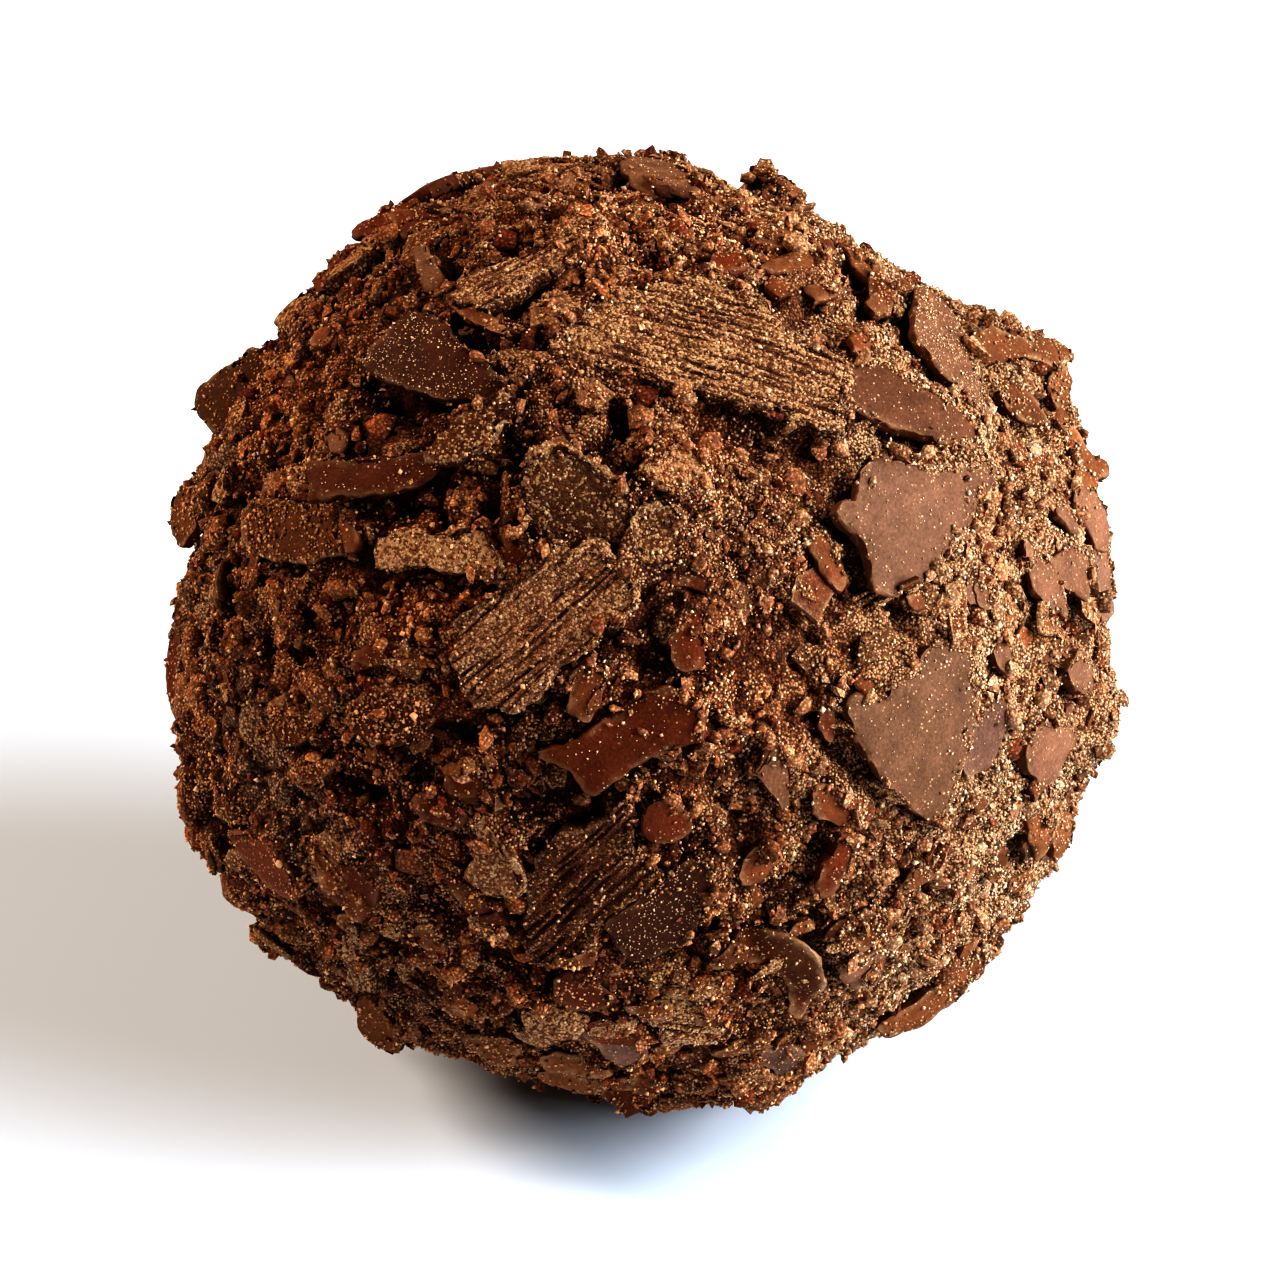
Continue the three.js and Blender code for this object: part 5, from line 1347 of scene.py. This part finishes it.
for piece, names in PIECES.items():
    parts = [make_flake(by_name[n]) for n in names]
    kind = by_name[names[0]].kind
    stuff = {"ridged": ridged_stuff, "dusty": dusty_stuff}.get(kind, smooth_stuff)
    ob = tint(piece + "_look", *join(parts), stuff, kind if kind != "red" else "dark", smooth=True, sharp=38)
    stands = [n for n in names if n in nodes]
    if stands:
        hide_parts(*stands)
tint("small_chips", *join([make_flake(f) for f in chips]), smooth_stuff, "dark", smooth=True, sharp=38)
tint("ledges", *join([make_flake(f) for f in ledges if f.kind not in ("ridged", "dusty")]), smooth_stuff, "dark", smooth=True, sharp=38)
tint("dusty_ledges", *join([make_flake(f) for f in ledges if f.kind in ("ridged", "dusty")]), dusty_stuff, "dusty", smooth=True, sharp=38)


# ---- loose pieces ----
def turns(n, rng):
    q = rng.normal(size=(n, 4))
    q /= np.linalg.norm(q, axis=1)[:, None]
    w, x, y, z = q.T
    return np.stack(
        [
            np.stack([1 - 2 * (y * y + z * z), 2 * (x * y - w * z), 2 * (x * z + w * y)], 1),
            np.stack([2 * (x * y + w * z), 1 - 2 * (x * x + z * z), 2 * (y * z - w * x)], 1),
            np.stack([2 * (x * z - w * y), 2 * (y * z + w * x), 1 - 2 * (x * x + y * y)], 1),
        ],
        1,
    )


def strew(n, rng, what, front=1.0, calm=0.0):
    """n places on the skins by the shares that what names: point, normal of the face, direction from the middle."""
    A, B, C = (np.vstack([s[k] for s in skins]) for k in range(3))
    share = sum(np.concatenate([s[3 + k] for s in skins]) for k in what)
    cross = np.cross(B - A, C - A)
    area = np.linalg.norm(cross, axis=1)
    unit = cross / (area[:, None] + 1e-12)
    M = (A + B + C) / 3
    R = M / np.linalg.norm(M, axis=1)[:, None]
    facing = R @ -SIGHT
    w = area * share * (1 + (front - 1) * step(-0.3, 0.1, facing)) * (1 - calm * step(0.3, 0.7, facing))
    w *= M[:, 2] > 0.25 - BALL_AT[2]
    w *= (unit * R).sum(1) > -0.3
    pick = rng.choice(len(w), n, p=w / w.sum())
    u, v = rng.random(n), rng.random(n)
    flip = u + v > 1
    u[flip], v[flip] = 1 - u[flip], 1 - v[flip]
    P = A[pick] + (B - A)[pick] * u[:, None] + (C - A)[pick] * v[:, None]
    return P, unit[pick], R[pick]


def lattice_uv(n, faces_each):
    """A small square of the map for each loose piece, shared by all of its faces."""
    side = math.ceil(math.sqrt(n))
    i = np.arange(n)
    corner = np.stack([i % side, i // side], 1)[:, None, None, :]
    tri = np.array([(0.12, 0.12), (0.88, 0.12), (0.5, 0.88)])[None, None]
    return ((corner + np.broadcast_to(tri, (n, faces_each, 3, 2))) / side).reshape(-1, 2)


def solids(base, faces, P, size, R, jitter, rng):
    n, k = len(P), len(base)
    shape = base[None] * (1 + jitter * rng.uniform(-1, 1, (n, k, 1))) * size[:, None, :]
    V = np.einsum("nij,nkj->nki", R, shape) + P[:, None]
    F = faces[None] + (np.arange(n) * k)[:, None, None]
    return V.reshape(-1, 3), F.reshape(-1, 3)


def palette(n, rng, colours, odds, spread=0.25):
    c = np.array(colours)[rng.choice(len(colours), n, p=np.array(odds) / sum(odds))]
    return np.minimum(c * np.exp(rng.normal(0, spread, n))[:, None], 0.9)


g = (1 + 5**0.5) / 2
ICO = np.array([(-1, g, 0), (1, g, 0), (-1, -g, 0), (1, -g, 0), (0, -1, g), (0, 1, g), (0, -1, -g), (0, 1, -g), (g, 0, -1), (g, 0, 1), (-g, 0, -1), (-g, 0, 1)])
ICO = ICO / np.linalg.norm(ICO[0])
ICO_F = np.array(
    [(0, 11, 5), (0, 5, 1), (0, 1, 7), (0, 7, 10), (0, 10, 11), (1, 5, 9), (5, 11, 4), (11, 10, 2), (10, 7, 6), (7, 1, 8)]
    + [(3, 9, 4), (3, 4, 2), (3, 2, 6), (3, 6, 8), (3, 8, 9), (4, 9, 5), (2, 4, 11), (6, 2, 10), (8, 6, 7), (9, 8, 1)]
)
SPINDLE = np.array([(0, 0, 1.0), (0, 0, -1.0), (1, 0, 0), (-0.5, 0.87, 0), (-0.5, -0.87, 0)])
SPINDLE_F = np.array([(0, 2, 3), (0, 3, 4), (0, 4, 2), (1, 3, 2), (1, 4, 3), (1, 2, 4)])
OCTA = np.array([(1, 0, 0), (-1, 0, 0), (0, 1, 0), (0, -1, 0), (0, 0, 1), (0, 0, -1)], float)
OCTA_F = np.array([(0, 2, 4), (2, 1, 4), (1, 3, 4), (3, 0, 4), (2, 0, 5), (1, 2, 5), (3, 1, 5), (0, 3, 5)])
TETRA = np.array([(1, 1, 1), (1, -1, -1), (-1, 1, -1), (-1, -1, 1)]) / 3**0.5
TETRA_F = np.array([(0, 1, 2), (0, 2, 3), (0, 3, 1), (1, 3, 2)])


def shards(name, n, sizes, thin, seed, colours, odds, front, wild, powder):
    """Small broken plates, lying roughly flat on the coat."""
    rng = np.random.default_rng(seed)
    P, N, R = strew(n, rng, [1], front, calm=0.6 if sizes[1] > 2 else 0.0)
    # each is cut off by five straight breaks; the sides of large ones get a point halfway
    k = 10 if sizes[1] > 1.2 else 5
    breaks = (np.arange(5) + rng.uniform(-0.3, 0.3, (n, 5))) * 2 * math.pi / 5
    far = rng.uniform(0.55, 1.0, (n, 5))
    b2, f2 = np.roll(breaks, -1, 1), np.roll(far, -1, 1)
    det = np.sin(b2 - breaks)
    cx = (far * np.sin(b2) - f2 * np.sin(breaks)) / det
    cy = (f2 * np.cos(breaks) - far * np.cos(b2)) / det
    out = np.hypot(cx, cy)
    cx, cy = cx * np.minimum(1, 1.15 / out), cy * np.minimum(1, 1.15 / out)
    mx, my = (cx + np.roll(cx, -1, 1)) / 2, (cy + np.roll(cy, -1, 1)) / 2
    if k == 10:
        cx, cy = np.stack([cx, mx], 2).reshape(n, k), np.stack([cy, my], 2).reshape(n, k)
    x, y = cx + rng.normal(0, 0.055, (n, k)), cy + rng.normal(0, 0.055, (n, k))
    long = np.exp(rng.uniform(math.log(sizes[0]), math.log(sizes[1]), n)) / 2
    slim = rng.uniform(0.35, 0.9, n)
    x, y = x * long[:, None], y * (long * slim)[:, None]
    t = rng.uniform(*thin, n)
    bend = rng.uniform(1.5, 7, n) * rng.choice([1, 1, 1, -1], n)
    drop = lambda x, y: -(x * x) / (2 * bend[:, None])
    rings = []
    for grow, level in ((0.72, 0.0), (0.97, -0.1), (1.03, -0.55), (0.86, -1.0)):
        rings.append(np.stack([x * grow, y * grow, drop(x * grow, y * grow) + level * t[:, None] + rng.normal(0, 0.012, (n, k))], 2))
    top = np.zeros((n, 1, 3))
    base = np.stack([np.zeros((n, 1)), np.zeros((n, 1)), -t[:, None]], 2)
    V = np.concatenate([top] + rings + [base], 1)
    # faces of one plate
    F = []
    for i in range(k):
        j = (i + 1) % k
        F.append((0, 1 + i, 1 + j))
        for q in range(3):
            a0, b0 = 1 + q * k, 1 + (q + 1) * k
            F += [(a0 + i, b0 + i, b0 + j), (a0 + i, b0 + j, a0 + j)]
        F.append((1 + 3 * k + i, 1 + 4 * k, 1 + 3 * k + j))
    F = np.array(F)
    rim = np.exp(-(((R @ -SIGHT) / 0.3) ** 2))
    up = R + 0.5 * N + wild * (1 - 0.75 * rim)[:, None] * rng.normal(size=(n, 3)) * np.where((rng.random(n) < 0.12) & (long < 0.6), 2.2, 1.0)[:, None]
    up /= np.linalg.norm(up, axis=1)[:, None]
    side = np.cross(up, rng.normal(size=(n, 3)))
    side /= np.linalg.norm(side, axis=1)[:, None]
    M = np.stack([side, np.cross(up, side), up], 2)
    steep = 1 - (up * R).sum(1)
    P = P + R * (t * 0.3 + long * 0.2 * steep)[:, None]
    W = np.einsum("nij,nkj->nki", M, V) + P[:, None]
    verts = V.shape[1]
    faces = (F[None] + (np.arange(n) * verts)[:, None, None]).reshape(-1, 3)
    hue = palette(n, rng, colours, odds, 0.18)
    side_of = np.concatenate([[0.0], np.zeros(k), np.full(k, 0.3), np.full(k, 1.0), np.full(k, 1.0), [1.0]])
    worn = np.concatenate([[0.0], np.full(k, 0.1), np.full(k, 1.0), np.full(k, 0.1), np.zeros(k), [0.0]])
    worn = worn[None, :] * np.clip(rng.uniform(-0.2, 0.6, (n, 1)) + rng.uniform(-0.2, 0.2, (n, len(side_of))), 0, 0.6)
    # the sides and the underside are darker: painted shade
    H = hue[:, None, :] * (1 - 0.42 * side_of)[None, :, None]
    H = H * (1 - worn[:, :, None]) + np.array(TAN) * worn[:, :, None]
    loc = V + rng.uniform(0, 60, (n, 1, 3))
    powdered = rng.random(n) < powder
    dust = np.repeat(np.where(powdered, rng.uniform(0.35, 0.75, n), rng.uniform(0.02, 0.2, n)), verts)
    gl = np.repeat(np.where(powdered, 0.2, rng.uniform(0.5, 1.0, n)), verts)
    W, H, loc = W.reshape(-1, 3), H.reshape(-1, 3), loc.reshape(-1, 3)
    tint(name, W, faces, H, loc, dust, gl, shard_stuff, "dark", smooth=True, sharp=38)
    tops = faces.reshape(n, -1, 3)[:, np.add.outer(np.arange(k) * 8, (0, 1, 2)).ravel()]
    each = tops.shape[1]
    on = np.repeat(np.where(powdered, 0.8, 0.06), each)
    skin(W, tops.reshape(-1, 3), on, 0.0, np.repeat(np.where(powdered, 0.3, 1.0), each))


def crumbs(name, n, sizes, seed, front, base, faces, jitter, what, hues, odds, powder, carried):
    """Rounded crumbs; powder is the least and the most dust on one, carried the share of grains that lie on them."""
    rng = np.random.default_rng(seed)
    P, N, R = strew(n, rng, what, front)
    s = np.exp(rng.normal(math.log(sizes[0]), sizes[1], n)) / 2
    s = np.clip(s, sizes[2] / 2, sizes[3] / 2)
    size = s[:, None] * np.stack([1.1 * np.ones(n), rng.uniform(0.55, 1, n), rng.uniform(0.4, 0.8, n)], 1)
    V, F = solids(base, faces, P + N * (s * 0.15)[:, None], size, turns(n, rng), jitter, rng)
    hue = palette(n, rng, hues, odds, 0.16)
    # crumbs towards the lit right are paler still: painted light
    hue = hue * local_light(R)[:, None] * local_red(R) * lit_tone(R) * (1 + 0.22 * step(0.0, 0.7, R @ ACROSS))[:, None]
    hue = warm(hue, 0.66, 0.42)
    k = len(base)
    # dust is raised towards the lit right: painted light
    dust = np.repeat(np.clip(rng.uniform(*powder, n) + 0.3 * step(0.0, 0.7, R @ ACROSS), 0, 1), k)
    gl = np.repeat(rng.uniform(0.1, 0.9, n), k)
    if carried:
        skin(V, F, np.full(len(F), carried), np.zeros(len(F)))
    tint(name, V, F, np.repeat(hue, k, 0), V + np.repeat(rng.uniform(0, 40, (n, 3)), k, 0), dust, gl, crumb_stuff, "coat", uv=lattice_uv(n, len(faces)) if n > 9000 else None, smooth=True, sharp=60)


def grains(name, n, base, faces, sizes, seed, colours, odds, front, what=0):
    what = [what]
    rng = np.random.default_rng(seed)
    P, N, R = strew(n, rng, what, front)
    s = np.exp(rng.normal(math.log(sizes[0]), sizes[1], n)) / 2
    size = s[:, None] * np.stack([np.ones(n), rng.uniform(0.65, 1, n), rng.uniform(0.6, 1, n)], 1)
    V, F = solids(base, faces, P + N * (s * 0.45)[:, None], size, turns(n, rng), 0.25, rng)
    k = len(base)
    shade = step(0.65, 0.92, -(R @ ACROSS)) + 0.6 * step(0.3, 0.8, -(R @ UPWARD))
    hue = palette(n, rng, colours, odds, 0.16) * ((1 + 0.6 * shade) * local_light(R))[:, None] * local_red(R) * lit_tone(R)
    greyness = grey_areas(R)
    hue = hue * (1 + greyness[:, None] * np.array([0.22, 0.27, 0.45]))
    hue = hue * np.minimum(1, 0.68 / hue[:, 0])[:, None]
    hue = np.repeat(warm(hue, 0.77 + 0.06 * greyness, 0.55 + 0.12 * greyness), k, 0)
    z = np.zeros(len(V))
    tint(name, V, F, hue, V, z, z, grain_stuff, "coat", uv=lattice_uv(n, len(faces)), smooth=True, sharp=0)


def lumps(name, n, sizes, seed):
    """Rounded lumps of the coat, half sunk into it, on the left and at the bottom."""
    rng = np.random.default_rng(seed)
    P, N, R = strew(n * 12, rng, [1])
    keep = ((R @ ACROSS < -0.5) | (R @ UPWARD < -0.4)) & (rng.random(len(P)) < 0.2 + 0.8 * step(0.5, 0.9, -(R @ ACROSS)))
    P, R = P[keep][:n], R[keep][:n]
    n = len(P)
    # a ball of 80 faces
    edges = {}
    base, faces = [tuple(v) for v in ICO], []
    for a, b, c in ICO_F.tolist():
        m = []
        for i, j in ((a, b), (b, c), (c, a)):
            key = (min(i, j), max(i, j))
            if key not in edges:
                v = ICO[i] + ICO[j]
                edges[key] = len(base)
                base.append(tuple(v / np.linalg.norm(v)))
            m.append(edges[key])
        faces += [(a, m[0], m[2]), (m[0], b, m[1]), (m[2], m[1], c), (m[0], m[1], m[2])]
    base, faces = np.array(base), np.array(faces)
    s = rng.uniform(*sizes, n)[:, None] / 2
    side = np.cross(R, rng.normal(size=(n, 3)))
    side /= np.linalg.norm(side, axis=1)[:, None]
    M = np.stack([side, np.cross(R, side), R], 2)
    shape = base[None] * np.concatenate([s, s * rng.uniform(0.55, 0.9, (n, 1)), s * rng.uniform(0.35, 0.55, (n, 1))], 1)[:, None]
    V = np.einsum("nij,nkj->nki", M, shape) + P[:, None]
    k = len(base)
    V = V.reshape(-1, 3)
    V = V + 0.16 * wander(V / 0.7, 611) + 0.07 * wander(V / 0.3, 621)
    F = (faces[None] + (np.arange(n) * k)[:, None, None]).reshape(-1, 3)
    hue = palette(n, rng, [(0.24, 0.095, 0.040), (0.19, 0.075, 0.031), (0.27, 0.118, 0.055)], [0.4, 0.35, 0.25], 0.12) * local_red(R)
    dust = np.clip(0.25 + 0.3 * noise(V / 0.6, 631), 0, 1)
    skin(V, F, np.clip(0.45 + 0.8 * noise(V / 0.5, 641), 0.05, 2)[F].mean(1), 0.0, 1.0)
    tint(name, V, F, np.repeat(hue, k, 0), V, dust, np.full(len(V), 0.4), crumb_stuff, "coat", smooth=True, sharp=0)


SHARD_HUES = ([RED, (0.13, 0.042, 0.017), (0.19, 0.092, 0.046), BROWN], [0.26, 0.24, 0.20, 0.30])
shards("shards_large", 400, (1.1, 2.6), (0.2, 0.42), 901, *SHARD_HUES, 1.3, 0.12, 0.85)
shards("shards_mid", 200, (0.8, 1.5), (0.2, 0.34), 908, *SHARD_HUES, 1.6, 0.16, 0.7)
shards("shards_small", 1200, (0.45, 1.1), (0.12, 0.26), 902, *SHARD_HUES, 1.3, 0.36, 0.6)
lumps("lumps", 130, (0.8, 1.8), 911)
CRUMB_HUES = ([(0.31, 0.145, 0.070), (0.235, 0.092, 0.040), DARK, (0.37, 0.205, 0.110), (0.27, 0.120, 0.056)], [0.30, 0.32, 0.1, 0.06, 0.22])
FINE_HUES = ([(0.32, 0.165, 0.085), (0.24, 0.105, 0.050), (0.42, 0.27, 0.155)], [0.41, 0.37, 0.22])
crumbs("crumbs", 7000, (0.41, 0.38, 0.2, 1.1), 903, 1.3, ICO, ICO_F, 0.36, [1, 3], *CRUMB_HUES, (-0.3, 0.55), 0.3)
crumbs("crumbs_fine", 12000, (0.215, 0.25, 0.13, 0.4), 909, 1.5, OCTA, OCTA_F, 0.22, [0], *FINE_HUES, (-0.3, 0.4), 0.0)
DUST = ([TAN, (0.34, 0.195, 0.100), GOLD, (0.23, 0.105, 0.045), CREAM], [0.38, 0.28, 0.18, 0.14, 0.02])
grains("specks", 5600, TETRA, TETRA_F, (0.064, 0.3), 906, [GOLD, CREAM], [0.6, 0.4], 1.3, what=2)
grains("grains_coarse", 19500, OCTA, OCTA_F, (0.135, 0.25), 904, *DUST, 1.5)
grains("grains_fine", 31000, SPINDLE, SPINDLE_F, (0.108, 0.22), 905, *DUST, 1.6)


# ---- stage ----
def floor_material():
    m = bpy.data.materials.new("floor")
    m.use_nodes = True
    s = m.node_tree.nodes["Principled BSDF"]
    s.inputs["Base Color"].default_value = (0.60, 0.70, 0.84, 1)
    s.inputs["Roughness"].default_value = 0.9
    return m


me = bpy.data.meshes.new("floor")
me.from_pydata([(-3, -3, 0), (3, -3, 0), (3, 3, 0), (-3, 3, 0)], [], [(0, 1, 2, 3)])
me.materials.append(floor_material())
floor = bpy.data.objects.new("floor", me)
bpy.context.scene.collection.objects.link(floor)
floor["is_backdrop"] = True

scene = bpy.context.scene
world = bpy.data.worlds.new("studio")
world.use_nodes = True
world.node_tree.nodes["Background"].inputs["Color"].default_value = (1.0, 0.82, 0.66, 1)
world.node_tree.nodes["Background"].inputs["Strength"].default_value = 0.036
scene.world = world


def lamp(name, toward, far, size, power, colour=(1, 1, 1)):
    d = Vector(toward).normalized()
    light = bpy.data.lights.new(name, "AREA")
    light.shape, light.size, light.energy, light.color = "DISK", size, power, colour
    ob = bpy.data.objects.new(name, light)
    middle = Vector(BALL_AT) * 0.001
    ob.location = middle + d * far
    ob.rotation_euler = d.to_track_quat("Z", "Y").to_euler()
    scene.collection.objects.link(ob)
    return ob


lamp("key", (0.88, -0.22, 0.46), 0.5, 0.46, 5.9)
lamp("top", (-0.8, 0.22, 0.6), 0.5, 0.17, 2.45, (1.0, 0.80, 0.62))
lamp("front", (-0.4, -1.0, 0.1), 0.6, 0.3, 0.45, (1.0, 0.74, 0.52))

cam = bpy.data.cameras.new("camera")
cam.sensor_width, cam.lens = 36, 180
cam.shift_x, cam.shift_y = -5 / 1280, -4 / 1280
cam.clip_start, cam.clip_end = 0.01, 20
camera = bpy.data.objects.new("camera", cam)
camera.location = Vector(BALL_AT - SIGHT * AWAY) * 0.001
camera.rotation_euler = (math.radians(60), 0, 0)
scene.collection.objects.link(camera)
scene.camera = camera
scene.view_settings.view_transform = "Standard"
scene.view_settings.look = "Very High Contrast"

low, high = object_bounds()
